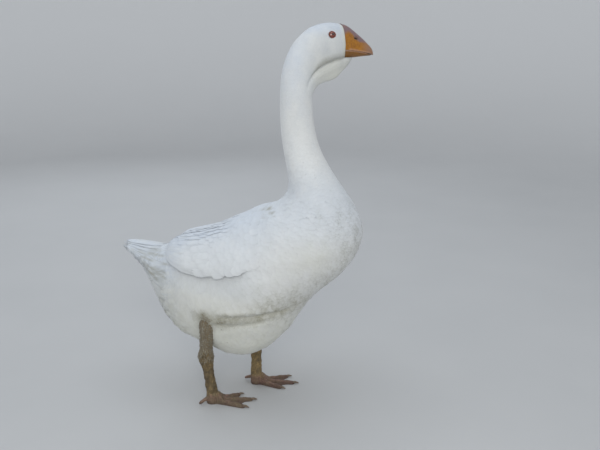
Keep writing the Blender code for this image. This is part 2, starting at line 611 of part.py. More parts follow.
def build():
    clear_scene()
    white = material("plumage_white", WHITE, 0.75)
    orange = material("bill_orange", ORANGE, 0.42)
    leg_mat = material("leg_skin", LEG_BROWN, 0.62)
    foot_mat = material("foot_skin", FOOT_PINK, 0.58)
    horn = material("claw_horn", HORN, 0.45)
    eye_mat = material("eye_gloss", EYE_BROWN, 0.06)

    v_tail = AT["tail_root"] + 0.45 * (AT["vent"] - AT["tail_root"])
    v_neck, v_head = AT["neck_root"], AT["poll"]
    length_of_body("tail", AT["tail_tip"], v_tail, 8, white)
    length_of_body("trunk", v_tail, v_neck, TRUNK_RINGS, white, first_gap=True)
    length_of_body("neck", v_neck, v_head, 9, white, first_gap=True)
    head = length_of_body("head", v_head, AT["bill_base"], 14, white, first_gap=True)

    ahead = base_cutter("cutter_ahead", True, 0.0)
    behind = base_cutter("cutter_behind", False, GAP)
    upper = bill_half("bill_upper", UPPER_BILL, 1, orange)
    lower = bill_half("bill_lower", LOWER_BILL, -1, orange, sides=18, steps=10)
    cut(head, ahead)
    cut(upper, behind)
    cut(lower, behind)

    for tag, side in (("L", 1), ("R", -1)):
        c, n = eye_centre(side)
        ball("eye_" + tag, c, n, EYE_RADIUS, eye_mat)
        cut(head, ball("cutter_eye_" + tag, c, n, EYE_RADIUS + 0.0004, None, hidden=True))
        wing("wing_" + tag, side, white)

    trunk_cut = trunk_cutter(v_tail, v_neck)
    for tag, leg in LEGS.items():
        knee, thigh, hock, ankle = leg["knee"], leg["thigh"], leg["hock"], leg["ankle"]
        pts, rad = [], []
        for t, across, along in ((0.0, 0.0150, 0.0180), (0.25, 0.0145, 0.0165), (0.45, 0.0130, 0.0150),
                                 (0.62, 0.0120, 0.0136), (0.78, TIBIA_LOW_R, 0.0130),
                                 (0.90, TIBIA_LOW_R, 0.0138), (0.97, 0.0122, HOCK_R)):
            # a bend through the thigh's widest place
            a, b = lerp(knee, thigh, min(t / 0.45, 1.0)), lerp(thigh, hock, max((t - 0.45) / 0.55, 0.0))
            pts.append(a if t < 0.45 else b)
            rad.append((across, along))
        tibia = mesh_object("tibia_" + tag, *rings_to_solid(limb(pts, rad)), leg_mat)
        cut(tibia, trunk_cut)
        axis = (Vector(hock) - Vector(pts[-2])).normalized()
        start = Vector(pts[-1]) + axis * GAP
        # hock, then down the shank to the ankle, ending level over the foot's boss
        end = Vector(ankle)
        lower_pts = [start, start.lerp(Vector(hock), 1.0), Vector(hock).lerp(end, 0.14),
                     Vector(hock).lerp(end, 0.30), Vector(hock).lerp(end, 0.55),
                     Vector(hock).lerp(end, 0.78), Vector(hock).lerp(end, 0.92), end]
        rad = [(0.0122, HOCK_R), (0.0120, 0.0150), (0.0108, 0.0136), (SHANK_R * 0.92, SHANK_R * 1.12),
               (SHANK_R * 0.88, SHANK_R * 1.05), (SHANK_R * 0.92, SHANK_R * 1.05),
               (SHANK_R, SHANK_R * 1.10), (SHANK_R, SHANK_R * 1.10)]
        rings = limb(lower_pts, rad)
        first = limb([Vector(pts[-2]), Vector(pts[-1])], [(1, 1), (0.0122, HOCK_R)])[-1]
        rings[0] = first + np.array(axis * GAP)
        last = rings[-1].copy()
        centre = np.array(end)
        last[:, 2] = 0.0225 + GAP                       # level end, over the foot
        rings[-1] = last
        mesh_object("shank_" + tag, *rings_to_solid(rings), leg_mat)
        foot("foot_" + tag, leg, foot_mat)
        hind_toe("hind_toe_" + tag, leg, foot_mat)
        for toe in ("outer", "middle", "inner"):
            claw("claw_" + toe + "_" + tag, leg, toe, horn)


def centre_on_origin():
    """Put the middle of the finished model's plan over the origin."""
    graph = bpy.context.evaluated_depsgraph_get()
    low, high = np.full(3, 1e9), np.full(3, -1e9)
    for obj in bpy.context.scene.objects:
        if obj.type != 'MESH' or obj.hide_render:
            continue
        ev = obj.evaluated_get(graph)
        co = np.array([tuple(v.co) for v in ev.data.vertices])
        low, high = np.minimum(low, co.min(axis=0)), np.maximum(high, co.max(axis=0))
    shift = Vector((-(low[0] + high[0]) / 2, -(low[1] + high[1]) / 2, 0.0))
    for obj in bpy.context.scene.objects:
        if obj.type == 'MESH':
            for v in obj.data.vertices:
                v.co += shift
            obj.data.update()
    return shift


build()
SHIFT = centre_on_origin()
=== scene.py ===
"""
White domestic goose standing, a still life-size model: skin, plumage, bill, eyes, claws,
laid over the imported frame.  Everything is in the frame's metres: +X the way the body
points, +Y the goose's left, +Z up, soles at z = 0.
"""
import math

import bmesh
import bpy
import numpy as np
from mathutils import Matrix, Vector
from mathutils.kdtree import KDTree


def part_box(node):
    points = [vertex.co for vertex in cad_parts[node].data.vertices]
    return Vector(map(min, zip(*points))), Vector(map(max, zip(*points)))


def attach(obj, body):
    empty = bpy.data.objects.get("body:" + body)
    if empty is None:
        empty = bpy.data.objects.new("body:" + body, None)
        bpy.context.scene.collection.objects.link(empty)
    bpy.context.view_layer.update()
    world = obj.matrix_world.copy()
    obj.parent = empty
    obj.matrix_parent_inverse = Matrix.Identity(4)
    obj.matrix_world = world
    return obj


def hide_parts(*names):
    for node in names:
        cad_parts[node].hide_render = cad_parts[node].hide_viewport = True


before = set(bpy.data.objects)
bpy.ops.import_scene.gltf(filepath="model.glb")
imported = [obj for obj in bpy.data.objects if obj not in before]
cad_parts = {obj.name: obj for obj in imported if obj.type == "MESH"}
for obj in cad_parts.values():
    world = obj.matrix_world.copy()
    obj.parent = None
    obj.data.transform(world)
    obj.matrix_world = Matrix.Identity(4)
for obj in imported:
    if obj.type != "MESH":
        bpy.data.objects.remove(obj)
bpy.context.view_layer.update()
TAU = 2 * math.pi

# ------------------------------------------------------------------ the goose's own sizes (m)
GAP = 0.0003                      # between pieces that touch
NECK_AXIS_X = 0.0945              # the neck stands over this point, the head turns about it
HEAD_TURN = math.radians(45.0)    # to the goose's left
# Stations along the body, from tail tip to bill base.
#   name, back point (x, z), under point (x, z), half width,
#   roundness (1 round, less is boxier), level of the widest place (-1 back, +1 under),
#   share of the head's turn
STATIONS = (
    ("tail_tip",    (-0.2770, 0.3095), (-0.2850, 0.3010), 0.030, 1.00,  0.00, 0.00),
    ("tail_mid",    (-0.2500, 0.3065), (-0.2560, 0.2840), 0.043, 1.00, -0.05, 0.00),
    ("tail_root",   (-0.2190, 0.3045), (-0.2250, 0.2520), 0.050, 1.00, -0.20, 0.00),
    ("vent",        (-0.1900, 0.3070), (-0.2020, 0.2040), 0.059, 1.00, -0.24, 0.00),
    ("rump",        (-0.1600, 0.3230), (-0.1720, 0.1520), 0.074, 0.95, -0.18, 0.00),
    ("loin",        (-0.1180, 0.3420), (-0.1300, 0.1210), 0.094, 0.92, -0.12, 0.00),
    ("hip",         (-0.0720, 0.3575), (-0.0810, 0.1070), 0.108, 0.90, -0.10, 0.00),
    ("belly",       (-0.0220, 0.3800), (-0.0280, 0.0960), 0.117, 0.90, -0.05, 0.00),
    ("midriff",     ( 0.0150, 0.3975), ( 0.0240, 0.1095), 0.119, 0.90,  0.00, 0.00),
    ("keel",        ( 0.0400, 0.4095), ( 0.0700, 0.1545), 0.116, 0.92,  0.00, 0.00),
    ("shoulder",    ( 0.0570, 0.4170), ( 0.1175, 0.2195), 0.110, 0.94,  0.00, 0.00),
    ("crop",        ( 0.0680, 0.4235), ( 0.1715, 0.2740), 0.100, 0.96,  0.00, 0.00),
    ("breast",      ( 0.0750, 0.4310), ( 0.2130, 0.3255), 0.087, 0.98,  0.00, 0.00),
    ("breast_top",  ( 0.0795, 0.4410), ( 0.2220, 0.3700), 0.073, 1.00,  0.00, 0.00),
    ("neck_foot",   ( 0.0815, 0.4570), ( 0.2030, 0.4180), 0.058, 1.00,  0.00, 0.00),
    ("neck_root",   ( 0.0770, 0.4850), ( 0.1610, 0.4800), 0.044, 1.00,  0.00, 0.00),
    ("neck_low",    ( 0.0690, 0.5180), ( 0.1370, 0.5230), 0.0345, 1.00, 0.00, 0.10),
    ("neck_mid",    ( 0.0635, 0.5630), ( 0.1255, 0.5690), 0.0305, 1.00, 0.00, 0.40),
    ("neck_high",   ( 0.0620, 0.6050), ( 0.1230, 0.6010), 0.0295, 1.00, 0.00, 0.75),
    ("poll",        ( 0.0630, 0.6400), ( 0.1240, 0.6180), 0.0290, 1.00, 0.00, 0.95),
    ("nape",        ( 0.0670, 0.6650), ( 0.1300, 0.6300), 0.0285, 1.00, -0.05, 1.00),
    ("hind_head",   ( 0.0740, 0.6865), ( 0.1430, 0.6390), 0.0285, 1.00, -0.20, 1.00),
    ("occiput",     ( 0.0845, 0.7060), ( 0.1590, 0.6430), 0.0288, 1.00, -0.25, 1.00),
    ("crown_back",  ( 0.1000, 0.7250), ( 0.1745, 0.6480), 0.0285, 1.00, -0.25, 1.00),
    ("crown",       ( 0.1225, 0.7410), ( 0.1860, 0.6575), 0.0272, 0.98, -0.20, 1.00),
    ("brow",        ( 0.1480, 0.7485), ( 0.1955, 0.6665), 0.0252, 0.96, -0.15, 1.00),
    ("forehead",    ( 0.1710, 0.7490), ( 0.2025, 0.6745), 0.0222, 0.96, -0.08, 1.00),
    ("bill_base",   ( 0.1950, 0.7435), ( 0.2070, 0.6815), 0.0190, 0.92, -0.04, 1.00),
)

FLANK_CREASE = 0.0055             # depth of the fold between flank feathers and paunch
DEWLAP_CREASE = 0.0050            # depth of the fold between cheek and dewlap

EYE_RADIUS = 0.0080
EYE_ALONG, EYE_HEIGHT = 0.0600, 0.7285     # from the neck axis along the head, and above the floor
EYE_BULGE = 0.0021                # how far the eyeball stands out of the cheek

WING_EDGE = 0.0095                # thickness of the folded wing along its lower edge
WING_BACK = 0.0050                # thickness over the back
WING_TIPS = 0.0085                # thickness of the wing tips over the rump
FOLD_CLEAR = 0.0017               # wing lies this far off the trunk

# Legs: joint centres of the right (rear) and left (forward) leg
LEGS = {
    "R": {"knee": (-0.0450, -0.0800, 0.2480), "thigh": (-0.0590, -0.0945, 0.1850),
          "hock": (-0.0725, -0.0750, 0.1040), "ankle": (-0.0680, -0.0590, 0.0235),
          "heading": 23.0, "outer": -1},
    "L": {"knee": (0.0070, 0.0800, 0.2480), "thigh": (-0.0060, 0.0930, 0.1850),
          "hock": (-0.0210, 0.0700, 0.1040), "ankle": (-0.0150, 0.0520, 0.0235),
          "heading": 14.0, "outer": 1},
}
TIBIA_LOW_R = 0.0115
HOCK_R = 0.0160
SHANK_R = 0.0106
TOE_LENGTH = {"outer": 0.072, "middle": 0.082, "inner": 0.062}
TOE_SPREAD = {"outer": 25.0, "middle": 0.0, "inner": -24.0}    # degrees, outwards positive
TOE_HALF = 0.0062                 # half width of a toe
TOE_RISE = 0.0095                 # height of a toe near its root
WEB = 0.0030                      # thickness of the web
CLAW_LENGTH = 0.0085
HIND_TOE = 0.0170

def smoothstep(a, b, x):
    t = np.clip((x - a) / (b - a), 0.0, 1.0)
    return t * t * (3.0 - 2.0 * t)


def bump(x, centre, reach):
    return np.exp(-((x - centre) / reach) ** 2)


# ------------------------------------------------------------------ the body's surface
def natural_spline(t, y):
    """Second derivatives of the natural cubic spline through (t, y)."""
    n = len(t)
    h = np.diff(t)
    a = np.zeros((n, n))
    b = np.zeros(y.shape)
    a[0, 0] = a[-1, -1] = 1.0
    for i in range(1, n - 1):
        a[i, i - 1], a[i, i], a[i, i + 1] = h[i - 1], 2.0 * (h[i - 1] + h[i]), h[i]
        b[i] = 6.0 * ((y[i + 1] - y[i]) / h[i] - (y[i] - y[i - 1]) / h[i - 1])
    return np.linalg.solve(a, b)


def spline_at(t, y, m, x):
    i = np.clip(np.searchsorted(t, x, side="right") - 1, 0, len(t) - 2)
    h = (t[i + 1] - t[i])[:, None]
    a = (t[i + 1] - x)[:, None] / h
    b = (x - t[i])[:, None] / h
    return a * y[i] + b * y[i + 1] + ((a ** 3 - a) * m[i] + (b ** 3 - b) * m[i + 1]) * h * h / 6.0


ROWS = np.array([[*s[1], *s[2], s[3], s[4], s[5], s[6]] for s in STATIONS])
STEP = np.sqrt(0.5 * (np.sum(np.diff(ROWS[:, 0:2], axis=0) ** 2, axis=1)
                      + np.sum(np.diff(ROWS[:, 2:4], axis=0) ** 2, axis=1)))
KNOT = np.concatenate([[0.0], np.cumsum(STEP)])
BEND = natural_spline(KNOT, ROWS)
AT = {s[0]: float(k) for s, k in zip(STATIONS, KNOT)}


def body(v, th):
    """Point of the body at v along it and th round it: 0 back, pi/2 left, pi under, 3pi/2 right."""
    v, th = np.broadcast_arrays(np.asarray(v, float), np.asarray(th, float))
    shape = v.shape
    v, th = v.ravel(), th.ravel()
    bx, bz, ux, uz, w, rnd, low, turn = spline_at(KNOT, ROWS, BEND, v).T
    mx, mz, hx, hz = (bx + ux) / 2, (bz + uz) / 2, (ux - bx) / 2, (uz - bz) / 2
    t, s = -np.cos(th), np.sin(th)
    lat = np.sign(s) * np.abs(s) ** rnd * (1 + low * t) / (1 + 0.25 * low * low)
    wide = w * lat
    x0, z0 = mx + hx * t, mz + hz * t
    # fold between the flank feathers and the paunch
    fold_z = 0.166 + (x0 + 0.066) * 0.385
    reach = (smoothstep(-0.11, -0.05, x0) * (1 - smoothstep(0.10, 0.16, x0))
             * (1 - smoothstep(AT["crop"], AT["breast_top"], v)))
    wide = wide - s * FLANK_CREASE * reach * (bump(z0, fold_z, 0.012)
                                              + 0.7 * smoothstep(0.0, 0.03, fold_z - z0))
    # fold between the cheek and the dewlap
    heads = [AT[n] for n in ("poll", "nape", "hind_head", "occiput", "crown_back",
                             "crown", "brow", "forehead", "bill_base")]
    tc = np.interp(v, heads, (0.25, 0.26, 0.27, 0.28, 0.33, 0.44, 0.60, 0.80, 0.95))
    dep = DEWLAP_CREASE * np.interp(v, heads, (0.0, 0.3, 0.8, 1.0, 1.0, 0.9, 0.6, 0.25, 0.0))
    wide = wide - s * dep * (bump(t, tc, 0.10) + 0.8 * smoothstep(0.0, 0.2, t - tc))
    # the tail's end is rounded seen from above and droops a little at its sides
    tail = 1 - smoothstep(AT["tail_tip"], AT["vent"], v)
    x = x0 + tail * 0.020 * lat ** 2
    z = z0 - tail * 0.004 * lat ** 2
    ang = HEAD_TURN * smoothstep(0.0, 1.0, turn)
    u = x - NECK_AXIS_X
    p = np.stack([NECK_AXIS_X + u * np.cos(ang) - wide * np.sin(ang),
                  u * np.sin(ang) + wide * np.cos(ang), z], axis=-1)
    return p.reshape(shape + (3,))


def outward(v, th):
    """Unit normal of the body's surface, pointing out."""
    v, th = np.broadcast_arrays(np.asarray(v, float), np.asarray(th, float))
    dv = body(v + 2e-4, th) - body(v - 2e-4, th)
    dt = body(v, th + 2e-3) - body(v, th - 2e-3)
    n = np.cross(dv, dt)
    n /= np.linalg.norm(n, axis=-1, keepdims=True)
    return n

# ------------------------------------------------------------------ head frame
HEAD_F = np.array([math.cos(HEAD_TURN), math.sin(HEAD_TURN), 0.0])     # forward
HEAD_L = np.array([-math.sin(HEAD_TURN), math.cos(HEAD_TURN), 0.0])    # left
HEAD_O = np.array([NECK_AXIS_X, 0.0, 0.0])


def head_point(u, s, z):
    """u forward of the neck axis, s to the left, z above the floor."""
    return HEAD_O + HEAD_F * u + HEAD_L * s + np.array([0.0, 0.0, z])

BASE_U, BASE_SWEEP, BASE_HALF = 0.0955, 0.0060, 0.0190      # feather line at the bill's base
CHIN_TOP = 0.6868                 # the chin runs on forward under the bill, below this level


def base_line(s, z):
    """How far forward the feather line lies at s from the head's middle and height z."""
    return BASE_U - BASE_SWEEP * (s / BASE_HALF) ** 2 \
        + np.interp(z, [0.686, 0.700, 0.711, 0.722, 0.732, 0.740, 0.749],
                    [0.0000, 0.0014, 0.0018, 0.0004, -0.0014, -0.0036, -0.0066])

# ------------------------------------------------------------------ bill
# along the head: u, top z, bottom z, half width
UPPER_BILL = (
    (0.0860, 0.7480, 0.7005, 0.0172),
    (0.0955, 0.7460, 0.7000, 0.0174),
    (0.1067, 0.7405, 0.6990, 0.0172),
    (0.1200, 0.7315, 0.6975, 0.0165),
    (0.1330, 0.7220, 0.6955, 0.0155),
    (0.1440, 0.7130, 0.6935, 0.0145),
    (0.1515, 0.7060, 0.6915, 0.0130),
    (0.1562, 0.7000, 0.6895, 0.0102),
    (0.1582, 0.6955, 0.6890, 0.0062),
)
LOWER_BILL = (
    (0.0860, 0.7000, 0.6846, 0.0150),
    (0.0955, 0.6994, 0.6846, 0.0152),
    (0.1067, 0.6984, 0.6848, 0.0150),
    (0.1200, 0.6969, 0.6856, 0.0143),
    (0.1330, 0.6949, 0.6867, 0.0132),
    (0.1440, 0.6929, 0.6875, 0.0118),
    (0.1505, 0.6911, 0.6878, 0.0098),
    (0.1540, 0.6898, 0.6879, 0.0065),
)

# ------------------------------------------------------------------ wings
WING_TIP, WING_FRONT = AT["vent"] + 0.45 * (AT["rump"] - AT["vent"]) + 0.011, AT["crop"]
WING_LOW = (("tip", WING_TIP, 0.42), ("rump", AT["rump"], 0.74), ("loin", AT["loin"], 1.03),
            ("hip", AT["hip"], 1.16), ("belly", AT["belly"], 1.22), ("midriff", AT["midriff"], 1.28),
            ("keel", AT["keel"], 1.36), ("shoulder", AT["shoulder"], 1.30), ("front", WING_FRONT, 0.95))


def wing_low(v):
    return np.interp(v, [r[1] for r in WING_LOW], [r[2] for r in WING_LOW])


def wing_top(v):
    return np.interp(v, [WING_TIP, AT["rump"], AT["loin"], AT["keel"], WING_FRONT],
                     [0.10, 0.07, 0.07, 0.10, 0.42])


def wing_rise(v, q):
    """Thickness of the folded wing; q runs 0 at the back to 1 at the lower edge."""
    ahead = 1 - smoothstep(AT["belly"], AT["shoulder"], v)
    astern = 0.55 + 0.45 * smoothstep(WING_TIP, AT["loin"], v)
    edge = 0.0012 + (WING_EDGE - 0.0012) * ahead * astern * smoothstep(0.25, 0.86, q) \
        * (1 - 0.80 * smoothstep(0.90, 1.0, q))
    tips = WING_BACK + (WING_TIPS - WING_BACK) * (1 - smoothstep(AT["rump"], AT["hip"], v))
    back = (tips - 0.0012) * smoothstep(0.0, 0.15, q) * (1 - smoothstep(0.35, 0.80, q)) \
        * (1 - 0.8 * smoothstep(AT["keel"], WING_FRONT, v))
    return edge + back

# ------------------------------------------------------------------ legs and feet
def limb(points, radii, sides=14):
    """Rings of round section along a line of points; returns rings for a solid."""
    pts = [Vector(p) for p in points]
    rings = []
    for i, p in enumerate(pts):
        d = (pts[min(i + 1, len(pts) - 1)] - pts[max(i - 1, 0)]).normalized()
        side = Vector((0, 1, 0))
        x = (side - d * side.dot(d)).normalized()          # across the goose
        y = d.cross(x)                                     # fore and aft
        rx, ry = radii[i]
        rings.append(np.array([p + x * rx * math.cos(2 * math.pi * j / sides)
                               + y * ry * math.sin(2 * math.pi * j / sides) for j in range(sides)]))
    return rings


def lerp(a, b, t):
    return tuple(a[k] + (b[k] - a[k]) * t for k in range(3))


def foot_height(r, phi, leg):
    """Top of the foot over the floor at r, phi from the ankle, phi outwards from the middle toe."""
    web = WEB * (0.75 + 0.25 * math.cos(phi))
    h = web
    for toe in ("outer", "middle", "inner"):
        a = math.radians(TOE_SPREAD[toe])
        along, across = r * math.cos(phi - a), r * math.sin(phi - a)
        if along < 0:
            continue
        reach = TOE_LENGTH[toe]
        knob = 1 + 0.14 * math.cos(along / reach * (5 if toe == "middle" else 4) * math.pi) ** 2
        half = TOE_HALF * (1.0 - 0.25 * along / reach) * knob
        rise = TOE_RISE * (1.0 - 0.42 * min(along / reach, 1.0)) * knob
        k = max(0.0, 1 - (across / half) ** 2)
        h = max(h, web + (rise - web) * math.sqrt(k))
    boss = 0.0225
    h = h + max(0.0, boss - h) * (1 - float(smoothstep(0.0095, 0.030, r)))
    return h


def foot_reach(phi):
    """How far the foot runs from the ankle at phi."""
    heel = 0.0125
    names = ("inner", "middle", "outer")
    ang = [math.radians(TOE_SPREAD[n]) for n in names]
    tips = [TOE_LENGTH[n] for n in names]
    best = heel
    for a, tip in zip(ang, tips):                       # the toe's own end, round
        d = phi - a
        if abs(d) < 1.2:
            s = abs(math.sin(d)) * tip / (TOE_HALF * 1.05)
            if s < 1:
                best = max(best, tip - TOE_HALF + TOE_HALF * math.sqrt(1 - s * s))
            side = TOE_HALF * 0.95 / max(abs(math.sin(d)), 1e-3)
            if math.cos(d) > 0:
                best = max(best, min(side, tip - TOE_HALF))
    for k in range(2):                                  # web scallops between toes
        if ang[k] <= phi <= ang[k + 1]:
            f = (phi - ang[k]) / (ang[k + 1] - ang[k])
            edge = (tips[k] * 0.93) * (1 - f) + (tips[k + 1] * 0.93) * f
            best = max(best, edge * (1 - 0.15 * math.sin(math.pi * f)))
    return best

# ------------------------------------------------------------------ small tools
def as_points(vertices):
    return np.array([tuple(v) for v in vertices], float)


def unit(a):
    return a / np.maximum(np.linalg.norm(a, axis=-1, keepdims=True), 1e-12)


def wave_noise(p, scale, seed, octaves=3):
    """Smooth noise about -1..1 over points p, with features of about the given size."""
    rng = np.random.default_rng(seed)
    out = np.zeros(p.shape[:-1])
    amp, total = 1.0, 0.0
    for _ in range(octaves):
        acc = np.zeros(p.shape[:-1])
        for _ in range(7):
            k = rng.normal(size=3)
            k *= TAU / (scale * rng.uniform(0.8, 2.0)) / np.linalg.norm(k)
            acc = acc + np.sin(p @ k + rng.uniform(0, TAU))
        out = out + acc / math.sqrt(7) * amp
        total += amp
        amp *= 0.5
        scale *= 0.5
    return out / total


def find_eye(side):
    """Centre and outward axis of an eyeball, where the frame has it."""
    vv, tt = np.meshgrid(np.linspace(AT["crown_back"], AT["forehead"], 160),
                         np.linspace(0.25, 1.6, 120), indexing="ij")
    p = body(vv, tt)
    u = (p - HEAD_O) @ HEAD_F
    i = np.argmin(np.hypot(u - EYE_ALONG, p[..., 2] - EYE_HEIGHT))
    v, th = vv.ravel()[i], tt.ravel()[i]
    p = body(v, th)
    dv = body(v + 2e-4, th) - body(v - 2e-4, th)
    dt = body(v, th + 2e-3) - body(v, th - 2e-3)
    n = unit(np.cross(dv, dt))
    if side < 0:
        p = p - 2 * np.dot(p - HEAD_O, HEAD_L) * HEAD_L
        n = n - 2 * np.dot(n, HEAD_L) * HEAD_L
    return p - n * (EYE_RADIUS - EYE_BULGE), n


EYES = {1: find_eye(1), -1: find_eye(-1)}
_low, _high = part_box("eye_L")
SHIFT = np.array((Vector(_low) + Vector(_high)) / 2) - EYES[1][0]
SHIFT[1:] = 0.0                    # the frame is the sizes above, moved along x only


def new_mesh(name, verts, faces, mats=(), smooth=True, shift=True):
    me = bpy.data.meshes.new(name)
    verts = np.asarray(verts, float) + (SHIFT if shift else 0.0)
    me.from_pydata(verts.tolist(), [], faces)
    if smooth:
        me.shade_smooth()
    ob = bpy.data.objects.new(name, me)
    bpy.context.scene.collection.objects.link(ob)
    for m in mats:
        me.materials.append(m)
    return ob


def outward_faces(ob):
    bm = bmesh.new()
    bm.from_mesh(ob.data)
    bmesh.ops.recalc_face_normals(bm, faces=bm.faces[:])
    bm.to_mesh(ob.data)
    bm.free()


def tube(rings, cap=True):
    """Quads between closed rings of equal count, and a fan on each end."""
    rings = [np.asarray(r, float) for r in rings]
    n = len(rings[0])
    verts = [p for r in rings for p in r]
    faces = []
    for i in range(len(rings) - 1):
        for j in range(n):
            k = (j + 1) % n
            faces.append((i * n + j, i * n + k, (i + 1) * n + k, (i + 1) * n + j))
    if cap:
        for first, ring in ((0, rings[0]), ((len(rings) - 1) * n, rings[-1])):
            c = len(verts)
            verts.append(ring.mean(axis=0))
            for j in range(n):
                faces.append((first + j, first + (j + 1) % n, c))
    return verts, faces


# ------------------------------------------------------------------ plumage surface
class Surface:
    """Points over (a, b), b once round, with the normals and both tangents at each."""

    def __init__(self, a, pts, flip=False):
        self.a0, self.a1, self.na, self.nb = a[0], a[-1], len(a), pts.shape[1]
        self.da, self.db = (a[-1] - a[0]) / (len(a) - 1), TAU / pts.shape[1]
        ea = np.gradient(pts, self.da, axis=0)
        eb = (np.roll(pts, -1, 1) - np.roll(pts, 1, 1)) / (2 * self.db)
        n = unit(np.cross(ea, eb)) * (-1 if flip else 1)
        self.all = np.concatenate([pts, n, ea, eb], axis=-1)
        self.area = np.linalg.norm(np.cross(ea, eb), axis=-1)

    def at(self, a, b, lo=0, hi=12):
        """Values lo:hi of (point, normal, tangents), carried straight on past either end."""
        a, b = np.asarray(a, float), np.asarray(b, float)
        ac = np.clip(a, self.a0, self.a1)
        x = np.clip((ac - self.a0) / self.da, 0, self.na - 1.000001)
        y = np.mod(b, TAU) / self.db
        i, j = x.astype(int), y.astype(int) % self.nb
        fx, fy = (x - i)[..., None], (y - np.floor(y))[..., None]
        j1 = (j + 1) % self.nb
        g = self.all[..., lo:hi]
        out = ((g[i, j] * (1 - fy) + g[i, j1] * fy) * (1 - fx)
               + (g[i + 1, j] * (1 - fy) + g[i + 1, j1] * fy) * fx)
        if lo == 0 and np.any(a != ac):
            out[..., 0:3] += (a - ac)[..., None] * self.at(ac, b, 6, 9)
        return out

def side_of(b):
    """(angle from the back to the underside, +1 left or -1 right)."""
    b = np.mod(b, TAU)
    return np.where(b <= math.pi, b, TAU - b), np.where(b <= math.pi, 1.0, -1.0)


def soft_interp(f, v, reach=0.008):
    return (f(v - reach) + 2 * f(v) + f(v + reach)) / 4


def wing_share(v, b):
    """Where on the wing: 0 at the back edge, 1 at the lower edge."""
    t, _ = side_of(b)
    top, low = soft_interp(wing_top, v), soft_interp(wing_low, v)
    return (t - top) / (low - top)


def wing_height(v, q, cover=False):
    """How far the folded wing stands off the body; cover runs on past the lower edge."""
    qc = np.clip(q, 0.0, 1.0)
    ahead = 1 - smoothstep(AT["belly"] - 0.01, AT["shoulder"], v)
    astern = 0.28 + 0.72 * smoothstep(WING_TIP, AT["hip"], v)
    edge = (WING_EDGE - 0.0012) * ahead * astern * smoothstep(0.25, 0.86, qc)
    tips = WING_BACK + (WING_TIPS - WING_BACK) * (1 - smoothstep(AT["rump"], AT["hip"], v))
    back = 0.45 * (tips - 0.0012) * (0.25 + 0.75 * smoothstep(-0.05, 0.20, q)) \
        * (1 - smoothstep(0.35, 0.80, qc)) * (1 - 0.8 * smoothstep(AT["keel"], WING_FRONT, v))
    h = 0.0012 + FOLD_CLEAR + edge + back
    h = h * (0.30 + 0.70 * smoothstep(WING_TIP - 0.004, WING_TIP + 0.040, v))
    if cover:
        h = h * (1 - 0.30 * smoothstep(0.88, 1.10, q))
    else:
        h = h * (1 - smoothstep(0.89, 1.00, q))
    h = h * (1 - smoothstep(WING_FRONT - 0.175, WING_FRONT - 0.085, v))
    if not cover:
        h = h * smoothstep(WING_TIP - 0.004, WING_TIP + 0.006, v)
    return h


NV, NT = ((1100, 480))
V_LOW, V_HIGH = AT["tail_tip"], AT["bill_base"]
V_GRID = np.linspace(V_LOW, V_HIGH, NV)
T_GRID = np.arange(NT) * TAU / NT
VV, TT = np.meshgrid(V_GRID, T_GRID, indexing="ij")
BARE = body(VV, TT)


def grid_normals(p):
    ea = np.gradient(p, axis=0)
    eb = np.roll(p, -1, 1) - np.roll(p, 1, 1)
    return unit(np.cross(ea, eb))


BARE_N = grid_normals(BARE)
# the cheek overhangs the fold above the dewlap, and the dewlap swells below it
_heads = [AT[n] for n in ("poll", "nape", "hind_head", "occiput", "crown_back", "crown", "brow", "forehead",
                          "bill_base")]
_line = np.interp(VV, _heads, (0.25, 0.26, 0.27, 0.28, 0.33, 0.44, 0.60, 0.80, 0.95))
_by = np.interp(VV, _heads, (0.0, 0.4, 0.9, 1.0, 1.0, 0.8, 0.5, 0.15, 0.0))
_off = -np.cos(TT) - _line
CHEEKS = _by * (-0.0023 * np.exp(-((_off + 0.03) / 0.07) ** 2) + 0.0013 * np.exp(-((_off - 0.22) / 0.13) ** 2)
                - 0.0008 * np.exp(-((_off + 0.16) / 0.10) ** 2))
ON_TRUNK = 1 - smoothstep(AT["neck_foot"], AT["neck_mid"], VV)
ON_TAIL = 1 - smoothstep(AT["tail_root"], AT["rump"], VV)
SWELL = (wave_noise(BARE, 0.11, 11, 2) * 0.0016 + wave_noise(BARE, 0.034, 12, 2) * 0.0006) \
    * (0.18 + 0.82 * ON_TRUNK) * (1 - 0.8 * ON_TAIL) * smoothstep(AT["bill_base"], AT["brow"], VV)
SWELL = SWELL + CHEEKS
SHARE = wing_share(VV, TT)

# the flank feathers stand a little over the thigh, with a soft hollow behind them
_t, _s = side_of(TT)
# two soft folds run forward over the paunch from beside the leg
FOLD_X = np.array([-0.060, -0.030, 0.005, 0.067, 0.090, 0.118])
FOLD_UPPER = np.array([0.2045, 0.2075, 0.2108, 0.2195, 0.2225, 0.229])
FOLD_LOWER = np.array([0.186, 0.1885, 0.1915, 0.2055, 0.2120, 0.220])


def fold_lines(x, y, z):
    """How near a point is to the upper and the lower fold, each 0..1, and its height over the upper one."""
    side = smoothstep(0.022, 0.055, np.abs(y))
    up, low = np.interp(x, FOLD_X, FOLD_UPPER), np.interp(x, FOLD_X, FOLD_LOWER)
    ru = smoothstep(-0.040, -0.010, x) * (1 - smoothstep(0.085, 0.125, x)) * side
    rl = smoothstep(-0.052, -0.030, x) * (1 - smoothstep(0.045, 0.085, x)) * side
    return ru, rl, z - up, z - low


